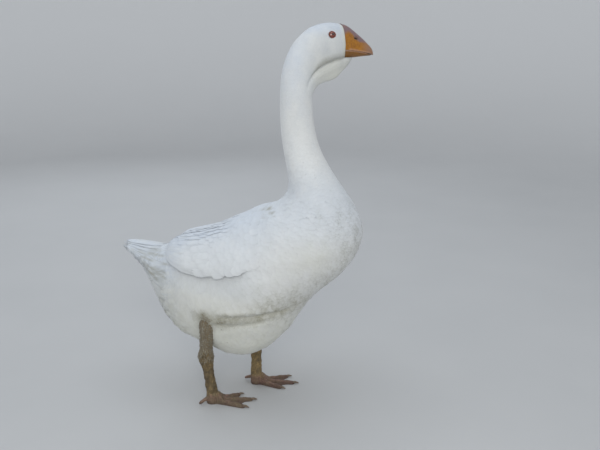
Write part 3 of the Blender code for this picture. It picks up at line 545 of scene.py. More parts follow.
_ru, _rl, _du, _dl = fold_lines(BARE[..., 0], BARE[..., 1], BARE[..., 2])
SWELL = SWELL - 0.0034 * _ru * np.exp(-(_du / 0.0034) ** 2) + 0.0016 * _ru * np.exp(-((_du - 0.008) / 0.006) ** 2) \
    - 0.0026 * _rl * np.exp(-(_dl / 0.0032) ** 2) + 0.0010 * _rl * np.exp(-((_dl - 0.006) / 0.004) ** 2)
THIGH = bump(VV, AT["hip"] + 0.004, 0.040) * bump(_t, 1.62, 0.34) * 0.0042
BEHIND = bump(VV, AT["loin"] - 0.012, 0.013) * bump(_t, 1.50, 0.34) * 0.0030

# the side feathers of the breast lap over the wing's front lower corner
LAP = wing_height(VV, np.minimum(SHARE, 0.88)) * smoothstep(AT["midriff"] - 0.004, AT["midriff"] + 0.040, VV) \
    * smoothstep(0.80, 0.88, SHARE) * (1 - smoothstep(0.92, 1.24, SHARE))

OUTER = BARE + BARE_N * (np.maximum(wing_height(VV, SHARE), LAP) + SWELL + THIGH - BEHIND)[..., None]
COVER = BARE + BARE_N * (wing_height(VV, SHARE, cover=True) + SWELL)[..., None]
UNDER = BARE + BARE_N * (LAP + SWELL + THIGH - BEHIND)[..., None]

PLUMAGE = Surface(V_GRID, OUTER)       # what the eye sees
WING = Surface(V_GRID, COVER)          # the folded wing, run on past its lower edge
FLANK = Surface(V_GRID, UNDER)         # the body without the wings
_mid = OUTER[:, :, 2].mean(1)[:, None]
_thin = 0.40 + 0.60 * smoothstep(0.008, 0.060, VV)
CORE = Surface(V_GRID, np.stack([OUTER[..., 0], OUTER[..., 1], _mid + (OUTER[..., 2] - _mid) * _thin], -1))


def coat_depth(v, b):
    """Depth of the plumage over the skin."""
    t, _ = side_of(b)
    d = np.interp(v, [AT["tail_tip"], AT["tail_root"], AT["vent"], AT["rump"], AT["loin"],
                      AT["breast"], AT["neck_foot"], AT["neck_low"], AT["poll"], AT["occiput"],
                      AT["brow"], AT["bill_base"]],
                  [0.0016, 0.0026, 0.0033, 0.0038, 0.0040, 0.0034, 0.0027, 0.0018,
                   0.0014, 0.0010, 0.0009, 0.0007])
    belly = smoothstep(1.9, 2.5, t) * smoothstep(AT["vent"], AT["loin"], v) \
        * (1 - smoothstep(AT["keel"], AT["crop"], v))
    return d + 0.0010 * belly


# ------------------------------------------------------------------ markings
# painted shade in the gaps between the feathers where tail and wing meet: along, height, how dark
STREAKS = (((-0.2214, -0.2044, -0.1883), (0.2920, 0.2889, 0.2862), 1.0),
           ((-0.2048, -0.1816, -0.1658, -0.1464), (0.2775, 0.2730, 0.2670, 0.2613), 0.9),
           ((-0.2026, -0.1883, -0.1691), (0.2686, 0.2627, 0.2507), 1.0),
           ((-0.2155, -0.1960, -0.1782), (0.3012, 0.3016, 0.3030), 0.7),
           ((-0.2124, -0.1921, -0.1640), (0.2975, 0.2966, 0.2990), 0.9),
           ((-0.1714, -0.1526, -0.1414), (0.2863, 0.2880, 0.2886), 0.8),
           ((-0.1827, -0.1596, -0.1476), (0.2776, 0.2742, 0.2685), 0.9),
           ((-0.2355, -0.2205, -0.2038), (0.2997, 0.2965, 0.2925), 0.5))


def markings(p):
    """For points in the sizes' own frame: mud with painted shade, warm tint, painted sky tint and shade, grey feather
    brinks with painted shade (each 0..1).
    """
    x, y, z = p[..., 0], p[..., 1], p[..., 2]
    ay = np.abs(y)
    trunk_z = 1 - smoothstep(0.44, 0.52, z)
    rough = wave_noise(p, 0.020, 31, 3)
    rough2 = wave_noise(p, 0.007, 32, 2)
    drawn = wave_noise(p * np.array([0.30, 1.0, 1.0]), 0.0042, 34, 2)
    # soil in the folds over the paunch, thickest beside the leg, with painted shade in the creases and above the upper
    # fold
    ru, rl, du, dl = fold_lines(x, y, z)
    crease = ru * np.exp(-(du / 0.0026) ** 2) * 0.92 + rl * np.exp(-(dl / 0.0022) ** 2) * 0.66
    crease_shade = ru * (np.exp(-((du - 0.003) / 0.009) ** 2) * 0.60) * (0.9 + 0.5 * rough)
    over_fold = smoothstep(-0.030, 0.020, x) * (1 - smoothstep(0.112, 0.150, x)) * smoothstep(0.022, 0.055, ay)
    shade_above_fold = over_fold * smoothstep(-0.002, 0.002, du) * np.exp(-(np.maximum(du, 0) / 0.026) ** 1.5) \
        * (0.24 + 0.24 * smoothstep(0.03, 0.08, x)) * (0.9 + 0.35 * rough + 0.35 * drawn)
    between = rl * smoothstep(0.002, -0.002, du) * smoothstep(-0.003, 0.001, dl) * (0.56 + 0.14 * rough + 0.12 * drawn)
    lx = x - 0.053 * (y > 0)                             # the left leg stands further forward
    by_leg = np.exp(-((lx + 0.026) / 0.036) ** 2 - ((z - 0.1985) / 0.0170) ** 2) * smoothstep(0.05, 0.08, ay)
    by_leg = by_leg * smoothstep(-0.062, -0.040, lx) * (0.70 + 0.14 * rough + 0.16 * rough2) * np.where(y > 0, 0.6, 1.0)
    thigh = np.exp(-(((lx + 0.0560) / 0.0150) ** 2 + ((z - 0.1940) / 0.0230) ** 2) ** 1.6) * smoothstep(0.05, 0.08, ay)
    thigh = thigh * (1.15 + 0.35 * rough2) * np.where(y > 0, 0.75, 1.0)
    low = (1 - smoothstep(0.090, 0.120, z)) * 0.16 * (0.6 + 0.8 * rough) * (z > 0.085)
    mud = low + np.maximum.reduce([crease * (0.90 + 0.25 * rough2), crease_shade, shade_above_fold, np.clip(between, 0, 0.60),
                                   by_leg, thigh])
    front = (1 - smoothstep(0.030, 0.095, ay)) * smoothstep(0.10, 0.16, x) * (1 - smoothstep(0.40, 0.44, z)) * trunk_z
    under = smoothstep(0.02, 0.09, x) * (1 - smoothstep(0.235, 0.300, z)) * smoothstep(0.19, 0.215, z)
    front_low = np.clip(np.maximum(front, under), 0, 1)
    mud = mud + front_low * 0.23 * np.clip(0.42 + rough + 0.8 * drawn, 0, 1)
    rear = (1 - smoothstep(-0.13, -0.06, x)) * (1 - smoothstep(0.20, 0.26, z)) * trunk_z
    mud = mud + rear * 0.13 * np.clip(0.2 + rough + rough2, 0, 1)
    # painted shade of those gaps, laid into the mud channel and the sky tint
    streak = np.zeros_like(x)
    for xs, zs, k in STREAKS:
        d = z - np.interp(x, xs, zs)
        along = smoothstep(xs[0] - 0.004, xs[0] + 0.006, x) * (1 - smoothstep(xs[-1] - 0.008, xs[-1] + 0.003, x))
        streak = np.maximum(streak, k * along * np.exp(-(d / 0.0021) ** 2))
    # painted shade in the hollow under the tail
    hollow = np.exp(-((x + 0.190) / 0.034) ** 2 - ((z - 0.267 + 0.18 * (x + 0.190)) / 0.013) ** 2)
    mud = mud + 0.60 * streak + hollow * np.clip(0.34 + 0.26 * drawn, 0, 1)
    speck = wave_noise(p, 0.010, 33, 2)
    mud = mud + smoothstep(0.85, 1.15, speck) * 0.05 * (1 - smoothstep(0.20, 0.30, z))
    # small soiled marks on the right shoulder
    marks = np.zeros_like(x)
    for cx, cz, rx, rz, k in ((0.0400, 0.4068, 0.0060, 0.0018, 0.50), (0.0520, 0.4092, 0.0060, 0.0026, 1.15),
                              (0.0610, 0.4052, 0.0056, 0.0024, 1.05), (0.0690, 0.4020, 0.0045, 0.0014, 0.40)):
        tilt = (z - cz) - 0.15 * (x - cx)
        marks = np.maximum(marks, k * np.exp(-((x - cx) / rx) ** 2 - (tilt / rz) ** 2) * (y < 0))
    mud = np.clip(np.maximum(mud, marks * (0.75 + 0.5 * drawn)), 0, 1)
    # cream on the paunch, low on the breast and on the chin; painted sky light and shade, bluish grey, over the back,
    # tail, neck and head
    # the cream low on the body is partly the paunch's own colour, partly painted warm light from below
    warm = np.clip((1 - smoothstep(0.12, 0.34, z)) * 0.80
                   + np.exp(-((x - 0.155) / 0.045) ** 2 - ((z - 0.335) / 0.035) ** 2) * 0.40
                   + bump(z, 0.650, 0.030) * smoothstep(0.10, 0.16, x) * 0.75
                   + 0.20 * rough * trunk_z, 0, 1)
    saddle = (1 - smoothstep(-0.09, 0.06, x)) * smoothstep(0.305, 0.340, z) * (1 - smoothstep(0.030, 0.095, ay))
    hu, hs = (p - HEAD_O) @ HEAD_F, (p - HEAD_O) @ HEAD_L
    tail = 1 - smoothstep(-0.185, -0.140, x)
    chin = bump(z, 0.648, 0.034) * smoothstep(0.012, 0.035, hu)
    painted_sky_shade = smoothstep(0.31, 0.42, z) * trunk_z * 0.60 + saddle * (0.75 + 0.5 * drawn) + 0.15 * rough
    painted_sky_shade = painted_sky_shade + (1 - smoothstep(-0.165, -0.095, x)) * (0.62 + 0.45 * drawn)
    painted_sky_shade = painted_sky_shade + 0.34 * (1 - smoothstep(0.02, 0.10, x)) * smoothstep(0.240, 0.262, z) * trunk_z
    # painted shade on the sides of the face: a little darker, with less of the sky tint
    cheek_shade = smoothstep(-0.015, 0.030, hu) * smoothstep(0.655, 0.675, z) * (1 - smoothstep(0.722, 0.742, z))
    painted_sky_shade = np.clip(painted_sky_shade + (smoothstep(0.56, 0.70, z) * 0.58 + smoothstep(0.715, 0.745, z) * 0.30)
                   * (1 - chin) * (1 - 0.55 * cheek_shade), 0, 1)
    mud = mud + cheek_shade * (0.11 + 0.04 * rough)
    # painted shade along and above the fold between the face and the dewlap, laid into the mud channel and the sky tint
    over = z - np.interp(hu, [0.012, 0.0224, 0.0275, 0.0319, 0.0382, 0.0454, 0.0532, 0.0611, 0.0707, 0.0794, 0.0875,
                              0.0926],
                         [0.640, 0.6560, 0.6628, 0.6672, 0.6723, 0.6756, 0.6770, 0.6781, 0.6800, 0.6818, 0.6836,
                          0.6856])
    fold = smoothstep(-0.0012, 0.0012, over) * np.exp(-(np.maximum(over - 0.0040, 0) / 0.0105) ** 1.6) \
        * smoothstep(0.012, 0.032, hu) * (1 - smoothstep(0.086, 0.100, hu)) * (z > 0.60)
    mud = np.clip(np.maximum(mud, fold * (0.56 + 0.06 * rough)), 0, 1)
    painted_sky_shade = np.clip(np.maximum(painted_sky_shade, 0.55 * fold), 0, 1)
    painted_sky_shade = np.clip(np.maximum(painted_sky_shade, 1.0 * streak), 0, 1)
    rim = smoothstep(-0.0042, -0.0012, hu - base_line(hs, z)) * (z > 0.690) * (hu > 0.06)
    warm = np.clip(warm + 1.2 * rim, 0, 1)
    vent = (1 - smoothstep(-0.150, -0.095, x)) * (1 - smoothstep(0.265, 0.30, z)) * smoothstep(0.12, 0.18, z)
    folded = (1 - smoothstep(0.02, 0.09, x)) * smoothstep(0.235, 0.265, z) * smoothstep(-0.165, -0.140, x)
    # feather brinks greyed: soil low on the breast, painted shade in the gaps on the tail, vent, wing, saddle and rear
    edge_soil_and_shade = np.clip(front_low * np.clip(0.45 + 0.7 * rough, 0, 1) * 0.95 + tail * 0.48 + vent * 0.06
                    + folded * 0.08 + saddle * 0.13 + rear * 0.08, 0, 1)
    return np.stack([mud, warm, painted_sky_shade, edge_soil_and_shade], axis=-1)


# ------------------------------------------------------------------ where feathers root
def scatter(surf, inside, spacing, seed, a_lo, a_hi, more=6.5):
    """Roots no closer than the spacing asks: returns their a, b and spacing."""
    rng = np.random.default_rng(seed)
    a = surf.a0 + surf.da * np.arange(surf.na)
    b = surf.db * np.arange(surf.nb)
    aa, bb = np.meshgrid(a, b, indexing="ij")
    sp = spacing(aa, bb)
    w = surf.area * surf.da * surf.db / sp ** 2
    w = w * ((aa >= a_lo) & (aa <= a_hi)) * inside(aa, bb)
    total = w.sum()
    count = int(total * 0.75 * more)
    pick = rng.choice(w.size, size=count, p=(w / total).ravel())
    ca = aa.ravel()[pick] + (rng.random(count) - 0.5) * surf.da
    cb = bb.ravel()[pick] + (rng.random(count) - 0.5) * surf.db
    cs = spacing(ca, cb)
    ok = inside(ca, cb) & (ca >= a_lo) & (ca <= a_hi)
    ca, cb, cs = ca[ok], cb[ok], cs[ok]
    pts = surf.at(ca, cb, 0, 3)
    cell = float(cs.max())
    keys = np.floor(pts / cell).astype(int)
    table, keep = {}, []
    near = [(i, j, k) for i in (-1, 0, 1) for j in (-1, 0, 1) for k in (-1, 0, 1)]
    pl, kl, sl = pts.tolist(), keys.tolist(), cs.tolist()
    for n in range(len(pl)):
        x, y, z = pl[n]
        kx, ky, kz = kl[n]
        r2 = sl[n] * sl[n]
        free = True
        for i, j, k in near:
            for q in table.get((kx + i, ky + j, kz + k), ()):
                if (q[0] - x) ** 2 + (q[1] - y) ** 2 + (q[2] - z) ** 2 < r2:
                    free = False
                    break
            if not free:
                break
        if free:
            table.setdefault((kx, ky, kz), []).append((x, y, z))
            keep.append(n)
    keep = np.array(keep, int)
    return ca[keep], cb[keep], cs[keep]


def to_steps(g, d):
    """(da, db) for the tangent direction d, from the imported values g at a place."""
    ea, eb = g[..., 6:9], g[..., 9:12]
    e, f, gg = (ea * ea).sum(-1), (ea * eb).sum(-1), (eb * eb).sum(-1)
    p, q = (d * ea).sum(-1), (d * eb).sum(-1)
    det = np.maximum(e * gg - f * f, 1e-14)
    return (gg * p - f * q) / det, (e * q - f * p) / det


def tailward(a, b):
    return -np.ones_like(a), np.zeros_like(b)


def along_wing(a, b):
    """The lie on the folded wing: all its feathers draw together towards the tips."""
    t, s = side_of(b)
    top = soft_interp(wing_top, a)
    low = soft_interp(wing_low, a)
    q = np.clip((t - top) / (low - top), -0.1, 1.05)
    d = 0.012
    dt = (soft_interp(wing_top, a + d) - soft_interp(wing_top, a - d)) / (2 * d)
    dl = (soft_interp(wing_low, a + d) - soft_interp(wing_low, a - d)) / (2 * d)
    rate = (dt + q * (dl - dt)) * (1 - smoothstep(AT["midriff"], AT["shoulder"], a))
    return -np.ones_like(a), -s * rate


def directions(surf, a, b, lie, turn):
    """Unit direction of lie turned by an angle, the way across, and both as steps."""
    g = surf.at(a, b)
    la, lb = lie(a, b)
    n = unit(g[..., 3:6])
    t0 = unit(la[..., None] * g[..., 6:9] + lb[..., None] * g[..., 9:12])
    e0 = np.cross(n, t0)
    c, s = np.cos(turn)[..., None], np.sin(turn)[..., None]
    t = t0 * c + e0 * s
    e = np.cross(n, t)
    return to_steps(g, t), to_steps(g, e)


UNWRAP_V = (np.array([AT["tail_tip"] - 0.02, AT["vent"], AT["neck_foot"], AT["neck_low"], AT["poll"],
                      AT["crown_back"], AT["bill_base"] + 0.01]),
            np.array([0.01, 0.14, 0.52, 0.62, 0.72, 0.85, 0.99]))


def unwrap_body(a, b):
    return np.mod(b, TAU) / TAU * 0.97 + 0.015, np.interp(a, *UNWRAP_V)


class Look:
    """The build of one kind of feather."""

    def __init__(self, rows, widths, cols, slope=0.085, camber=0.05, round_tip=0.5, jag=0.05,
                 split=0.3, hug=0.30, droop=0.0):
        self.rows, self.widths = np.array(rows, float), np.array(widths, float)
        self.cols, self.slope, self.camber = cols, slope, camber
        self.round_tip, self.jag, self.split, self.hug = round_tip, jag, split, hug
        self.droop = droop


def grow(surf, a, b, length, width, depth, look, seed, lie=tailward, turn=None, lift=None,
         unwrap=unwrap_body, over=None, lean=None):
    """Closed thin vanes laid along the surface.

    a, b: roots.  length, width (half), depth: per feather.  lift: extra rise of the tip.
    Returns points, and for each point: feather number, place along, place across.
    """
    rng = np.random.default_rng(seed)
    n, nr, nc = len(a), len(look.rows), look.cols
    turn = np.zeros(n) if turn is None else turn
    lift = np.zeros(n) if lift is None else lift
    over = np.zeros(n) if over is None else over
    lean = np.zeros(n) if lean is None else lean
    A, B = np.zeros((n, nr)), np.zeros((n, nr))
    steps = [None] * nr
    A[:, 0], B[:, 0] = a, b
    rows = look.rows
    for k in range(nr):
        (ta, tb), (ea, eb) = directions(surf, A[:, k], B[:, k], lie, turn)
        steps[k] = (ta, tb, ea, eb)
        if k + 1 < nr:
            ds = length * (rows[k + 1] - rows[k])
            ma, mb = A[:, k] + ta * ds * 0.5, B[:, k] + tb * ds * 0.5
            (ta2, tb2), _ = directions(surf, ma, mb, lie, turn)
            A[:, k + 1], B[:, k + 1] = A[:, k] + ta2 * ds, B[:, k] + tb2 * ds
    ta, tb, ea, eb = (np.stack([s[m] for s in steps], 1) for m in range(4))
    y = np.linspace(-1, 1, nc)[None, None, :]
    t = rows[None, :, None]
    back = look.round_tip * np.abs(y) ** 2.2 * (width / length)[:, None, None]
    jag = rng.uniform(-1, 1, (n, 1, nc)) * look.jag
    if look.split > 0:
        cut = (rng.random((n, 1, 1)) < look.split) & (np.arange(nc)[None, None, :]
                                                     == rng.integers(1, max(nc - 1, 2), (n, 1, 1)))
        jag = jag - cut * 0.085 * rng.uniform(0.6, 1.3, (n, 1, 1))
    along = -(back * t ** 3 + np.abs(jag) * t ** 5) * length[:, None, None]
    fray = 1 + 0.05 * rng.normal(size=(n, nr, 1))
    across = y * (look.widths[None, :, None] * width[:, None, None]) * fray
    PA = A[:, :, None] + ea[:, :, None] * across + ta[:, :, None] * along
    PB = B[:, :, None] + eb[:, :, None] * across + tb[:, :, None] * along
    slope_drop = look.slope * length[:, None, None] * (1 - t)
    h = (depth[:, None, None] - slope_drop) * smoothstep(0.0, look.hug, t + 0.06)
    h = np.maximum(h, 0.0002)
    dome = look.camber * width[:, None, None] * look.widths[None, :, None]
    h = h + dome * (1 - y * y) + lean[:, None, None] * y * smoothstep(0.1, 0.5, t)
    h = h + lift[:, None, None] * t ** 2 + over[:, None, None]
    h = h - look.droop * t ** 4 * np.abs(y) ** 3
    pts, up = raised(surf, PA, PB, h, depth)
    # a line along the middle of the underside lets it follow a hollow
    i, j = (nc - 1) // 2, nc // 2
    keel = (pts[:, :, i] + pts[:, :, j]) / 2 - (up[:, :, i] + up[:, :, j]) / 2 * (dome * 0.75 + 0.00012)

    def both(top, low):
        return np.concatenate([np.broadcast_to(top, (n, nr, nc)).reshape(n, -1),
                               np.broadcast_to(low, (n, nr))], axis=1).ravel()

    u0, v0 = unwrap(a, b)
    uu = both(u0[:, None, None] + 0.0014 * y * look.widths[None, :, None], u0[:, None])
    vv = both(v0[:, None, None] + 0.0028 * (0.5 - t), v0[:, None] + 0.0028 * (0.5 - t[:, :, 0]))
    rnd = rng.random(n)
    return {"pts": np.concatenate([pts.reshape(n, nr * nc, 3), keel], axis=1).reshape(-1, 3),
            "uv": np.stack([uu, vv], -1), "n": n, "nr": nr, "nc": nc,
            "s": both(t, t[:, :, 0]), "y": both(np.abs(y), 0.0),
            "r": both(rnd[:, None, None], rnd[:, None]), "len": both(length[:, None, None], length[:, None]),
            "root": surf.at(a, b, 0, 3)}


def raised(surf, pa, pb, h, depth):
    """Points at h over the skin, the skin being depth under the surface, and the way out there."""
    g = surf.at(pa, pb, 0, 6)
    out = unit(g[..., 3:6])
    return g[..., 0:3] + out * (h - depth[:, None, None])[..., None], out


def choose(f, mask):
    """The feathers of f that mask names."""
    out = dict(f)
    each = f["nr"] * (f["nc"] + 1)
    m = np.repeat(mask, each)
    for k in ("pts", "uv"):
        out[k] = f[k][m]
    for k in ("s", "y", "r", "len"):
        out[k] = f[k][m]
    out["root"], out["n"] = f["root"][mask], int(mask.sum())
    return out


def coat(name, sets, mat, marks=markings):
    """One joined mesh of closed vanes."""
    co, uv, att, mk, idx, starts = [], [], [], [], [], []
    base = loops = 0
    for f in sets:
        if f["n"] == 0:
            continue
        nr, nc, n = f["nr"], f["nc"], f["n"]
        top, each = nr * nc, nr * (nc + 1)
        one, first, at = [], [], 0
        for k in range(nr - 1):
            for j in range(nc - 1):
                one += [k * nc + j, (k + 1) * nc + j, (k + 1) * nc + j + 1, k * nc + j + 1]
                first.append(at)
                at += 4
            one += [k * nc, top + k, top + k + 1, (k + 1) * nc]
            one += [top + k, k * nc + nc - 1, (k + 1) * nc + nc - 1, top + k + 1]
            first += [at, at + 4]
            at += 8
        one += list(range(nc)) + [top]
        first.append(at)
        at += nc + 1
        one += [(nr - 1) * nc + j for j in range(nc - 1, -1, -1)] + [top + nr - 1]
        first.append(at)
        at += nc + 1
        one, first = np.array(one), np.array(first)
        ids = (np.arange(n) * each)[:, None] + one[None, :] + base
        idx.append(ids.ravel())
        starts.append(((np.arange(n) * at)[:, None] + first[None, :]).ravel() + loops)
        base += n * each
        loops += n * at
        co.append(f["pts"])
        uv.append(f["uv"])
        att.append(np.stack([f["s"], f["y"], f["r"], f["len"] * 10], -1))
        m = np.repeat(marks(f["root"]), each, axis=0)
        mk.append(0.30 * m + 0.70 * marks(f["pts"]))
    co, uv, att, mk = (np.concatenate(q) for q in (co, uv, att, mk))
    idx, starts = np.concatenate(idx), np.concatenate(starts)
    me = bpy.data.meshes.new(name)
    me.vertices.add(len(co))
    me.vertices.foreach_set("co", (co + SHIFT).astype(np.float32).ravel())
    me.loops.add(len(idx))
    me.loops.foreach_set("vertex_index", idx.astype(np.int32))
    me.polygons.add(len(starts))
    me.polygons.foreach_set("loop_start", starts.astype(np.int32))
    me.polygons.foreach_set("use_smooth", np.ones(len(starts), bool))
    me.update(calc_edges=True)
    me.set_sharp_from_angle(angle=math.radians(48))
    layer = me.uv_layers.new(name="OFBake")
    layer.data.foreach_set("uv", uv[idx].astype(np.float32).ravel())
    for key, val in (("tuft", att), ("marks", mk)):
        c = me.color_attributes.new(key, 'FLOAT_COLOR', 'POINT')
        c.data.foreach_set("color", val.astype(np.float32).ravel())
    ob = bpy.data.objects.new(name, me)
    bpy.context.scene.collection.objects.link(ob)
    me.materials.append(mat)
    tris = int((np.diff(np.append(starts, len(idx))) - 2).sum())
    print(f"  {name}: {sum(f['n'] for f in sets)} feathers, {tris} triangles")
    COUNTS[name] = tris
    return ob


COUNTS = {}


# ------------------------------------------------------------------ materials
class Nodes:
    """Short hand for building a node tree."""

    def __init__(self, name):
        old = bpy.data.materials.get(name)
        if old:
            bpy.data.materials.remove(old)
        self.mat = bpy.data.materials.new(name)
        self.mat.use_nodes = True
        self.tree = self.mat.node_tree
        self.bsdf = self.tree.nodes["Principled BSDF"]

    def set(self, **sockets):
        for k, v in sockets.items():
            self.bsdf.inputs[k.replace("_", " ")].default_value = v

    def add(self, kind, **inputs):
        n = self.tree.nodes.new(kind)
        for k, v in inputs.items():
            n.inputs[k.replace("_", " ")].default_value = v
        return n

    def link(self, a, b):
        self.tree.links.new(a, b)

    def attribute(self, name):
        n = self.tree.nodes.new("ShaderNodeAttribute")
        n.attribute_name = name
        return n

    def split(self, name):
        s = self.tree.nodes.new("ShaderNodeSeparateColor")
        self.link(self.attribute(name).outputs["Color"], s.inputs["Color"])
        return s.outputs["Red"], s.outputs["Green"], s.outputs["Blue"]

    def place(self):
        return self.tree.nodes.new("ShaderNodeTexCoord").outputs["Object"]

    def noise(self, scale, detail=4.0, rough=0.55, at=None, stretch=None):
        n = self.add("ShaderNodeTexNoise", Scale=scale, Detail=detail, Roughness=rough)
        at = at or self.place()
        if stretch:
            m = self.tree.nodes.new("ShaderNodeMapping")
            m.inputs["Scale"].default_value = stretch
            self.link(at, m.inputs["Vector"])
            at = m.outputs["Vector"]
        self.link(at, n.inputs["Vector"])
        return n.outputs["Fac"]

    def ramp(self, value, lo, hi, a=0.0, b=1.0):
        n = self.add("ShaderNodeMapRange")
        n.inputs["From Min"].default_value = lo
        n.inputs["From Max"].default_value = hi
        n.inputs["To Min"].default_value = a
        n.inputs["To Max"].default_value = b
        self.link(value, n.inputs["Value"])
        return n.outputs["Result"]

    def math(self, op, a, b=None):
        n = self.tree.nodes.new("ShaderNodeMath")
        n.operation = op
        for i, x in enumerate((a, b)):
            if x is None:
                continue
            if isinstance(x, (int, float)):
                n.inputs[i].default_value = x
            else:
                self.link(x, n.inputs[i])
        return n.outputs[0]

    def mix(self, fac, a, b, kind='MIX'):
        n = self.tree.nodes.new("ShaderNodeMix")
        n.data_type = 'RGBA'
        n.blend_type = kind
        if isinstance(fac, (int, float)):
            n.inputs["Factor"].default_value = fac
        else:
            self.link(fac, n.inputs["Factor"])
        for key, x in (("A", a), ("B", b)):
            sock = [s for s in n.inputs if s.name == key and s.type == 'RGBA'][0]
            if isinstance(x, tuple):
                sock.default_value = (*x, 1.0)
            else:
                self.link(x, sock)
        return [s for s in n.outputs if s.type == 'RGBA'][0]

    def bump(self, height, strength, distance):
        n = self.add("ShaderNodeBump", Strength=strength, Distance=distance)
        self.link(height, n.inputs["Height"])
        self.link(n.outputs["Normal"], self.bsdf.inputs["Normal"])

    def colour(self, c):
        self.link(c, self.bsdf.inputs["Base Color"])

    def rough(self, r):
        self.link(r, self.bsdf.inputs["Roughness"])


def plumage_material(name, barbs=900.0, tufts=True):
    m = Nodes(name)
    mud, warm, painted_sky_shade = m.split("marks")
    fine = m.noise(420.0, 3.0)
    soft = m.noise(46.0, 3.0)
    col = m.mix(m.ramp(soft, 0.3, 0.7, 0.0, 0.35), (0.780, 0.785, 0.775), (0.725, 0.735, 0.735))
    # painted sky light and shade: bluish grey over the back, tail, neck and head
    col = m.mix(m.math('MULTIPLY', painted_sky_shade, 0.80), col, (0.562, 0.622, 0.712))
    col = m.mix(m.math('MULTIPLY', warm, 0.75), col, (0.765, 0.757, 0.638))
    if tufts:
        s, y, r = m.split("tuft")
        # a little darker where the vane is covered, each with a slight tone of its own
        shade = m.ramp(s, 0.15, 0.80, 0.92, 1.0)
        tone = m.ramp(r, 0.0, 1.0, 0.975, 1.01)
        rim = m.ramp(y, 0.70, 1.0, 1.0, 0.985)
        k = m.math('MULTIPLY', m.math('MULTIPLY', shade, tone), rim)
        # darker brinks of the vanes: soil and painted shade
        edge_soil_and_shade = m.attribute("marks").outputs["Alpha"]
        brink = m.math('MAXIMUM', m.ramp(y, 0.62, 1.0, 0.0, 1.0), m.ramp(s, 0.88, 1.0, 0.0, 1.0))
        keep = m.math('SUBTRACT', 1.0, m.math('MULTIPLY', m.math('MULTIPLY', edge_soil_and_shade, brink), 0.42))
        k = m.math('MULTIPLY', k, keep)
        g = m.tree.nodes.new("ShaderNodeCombineColor")
        for s_ in ("Red", "Green", "Blue"):
            m.link(k, g.inputs[s_])
        col = m.mix(1.0, col, g.outputs["Color"], 'MULTIPLY')
    # colour of the mud channel, which holds soil and painted shade
    dirt_and_shade = m.mix(m.ramp(fine, 0.35, 0.65), (0.215, 0.196, 0.122), (0.325, 0.305, 0.215))
    caked = m.mix(m.ramp(fine, 0.40, 0.62), (0.092, 0.064, 0.030), (0.200, 0.146, 0.076))
    dirt_and_shade = m.mix(m.ramp(mud, 0.66, 0.98), dirt_and_shade, caked)
    amount = m.math('MULTIPLY', mud, m.ramp(fine, 0.25, 0.60, 0.55, 1.15))
    amount = m.math('MINIMUM', amount, 0.95)
    col = m.mix(amount, col, dirt_and_shade)
    m.colour(col)
    m.rough(m.ramp(fine, 0.2, 0.8, 0.62, 0.80))
    m.bump(m.noise(barbs, 2.0), 0.10, 0.0006)
    m.set(Specular_IOR_Level=0.25, Sheen_Weight=0.25, Sheen_Roughness=0.5,
          Subsurface_Weight=0.0)
    return m.mat


def leg_material(name, base, second, mud_colour, dark, web=None):
    """Leg skin: scales stained and caked with dried mud."""
    m = Nodes(name)
    mud, ridge, cell = m.split("skin")
    grain = m.noise(260.0, 5.0, 0.65)
    blot = m.noise(90.0, 4.0, 0.6)
    runs = m.noise(330.0, 4.0, 0.6, stretch=(1.0, 1.0, 0.16))
    col = m.mix(m.ramp(blot, 0.35, 0.65), base, second)
    if web:
        ankle = m.math('ADD', m.attribute("skin").outputs["Alpha"], m.ramp(blot, 0.3, 0.7, -0.30, 0.30))
        col = m.mix(m.ramp(ankle, 0.12, 0.66, 0.0, 0.90), col, (0.330, 0.230, 0.105))
        col = m.mix(m.ramp(ridge, 0.0, 1.0, 0.85, 0.0), col, web)
    col = m.mix(m.ramp(cell, 0.0, 0.35, 0.70, 0.0), col, dark)
    earth = m.mix(m.ramp(grain, 0.3, 0.7), mud_colour, tuple(c * 1.7 for c in mud_colour))
    earth = m.mix(m.ramp(runs, 0.52, 0.66, 0.0, 0.60), earth, tuple(c * 2.6 for c in mud_colour))
    earth = m.mix(m.ramp(runs, 0.46, 0.34, 0.0, 0.55), earth, tuple(c * 0.45 for c in mud_colour))
    k = m.math('MULTIPLY', mud, m.ramp(blot, 0.32, 0.55, 0.35, 1.1))
    col = m.mix(m.math('MINIMUM', k, 1.0), col, earth)
    m.colour(col)
    m.rough(m.ramp(grain, 0.2, 0.8, 0.55, 0.85))
    m.bump(m.math('ADD', grain, m.math('MULTIPLY', runs, 0.6)), 0.45, 0.0010)
    m.set(Specular_IOR_Level=0.35)
    return m.mat


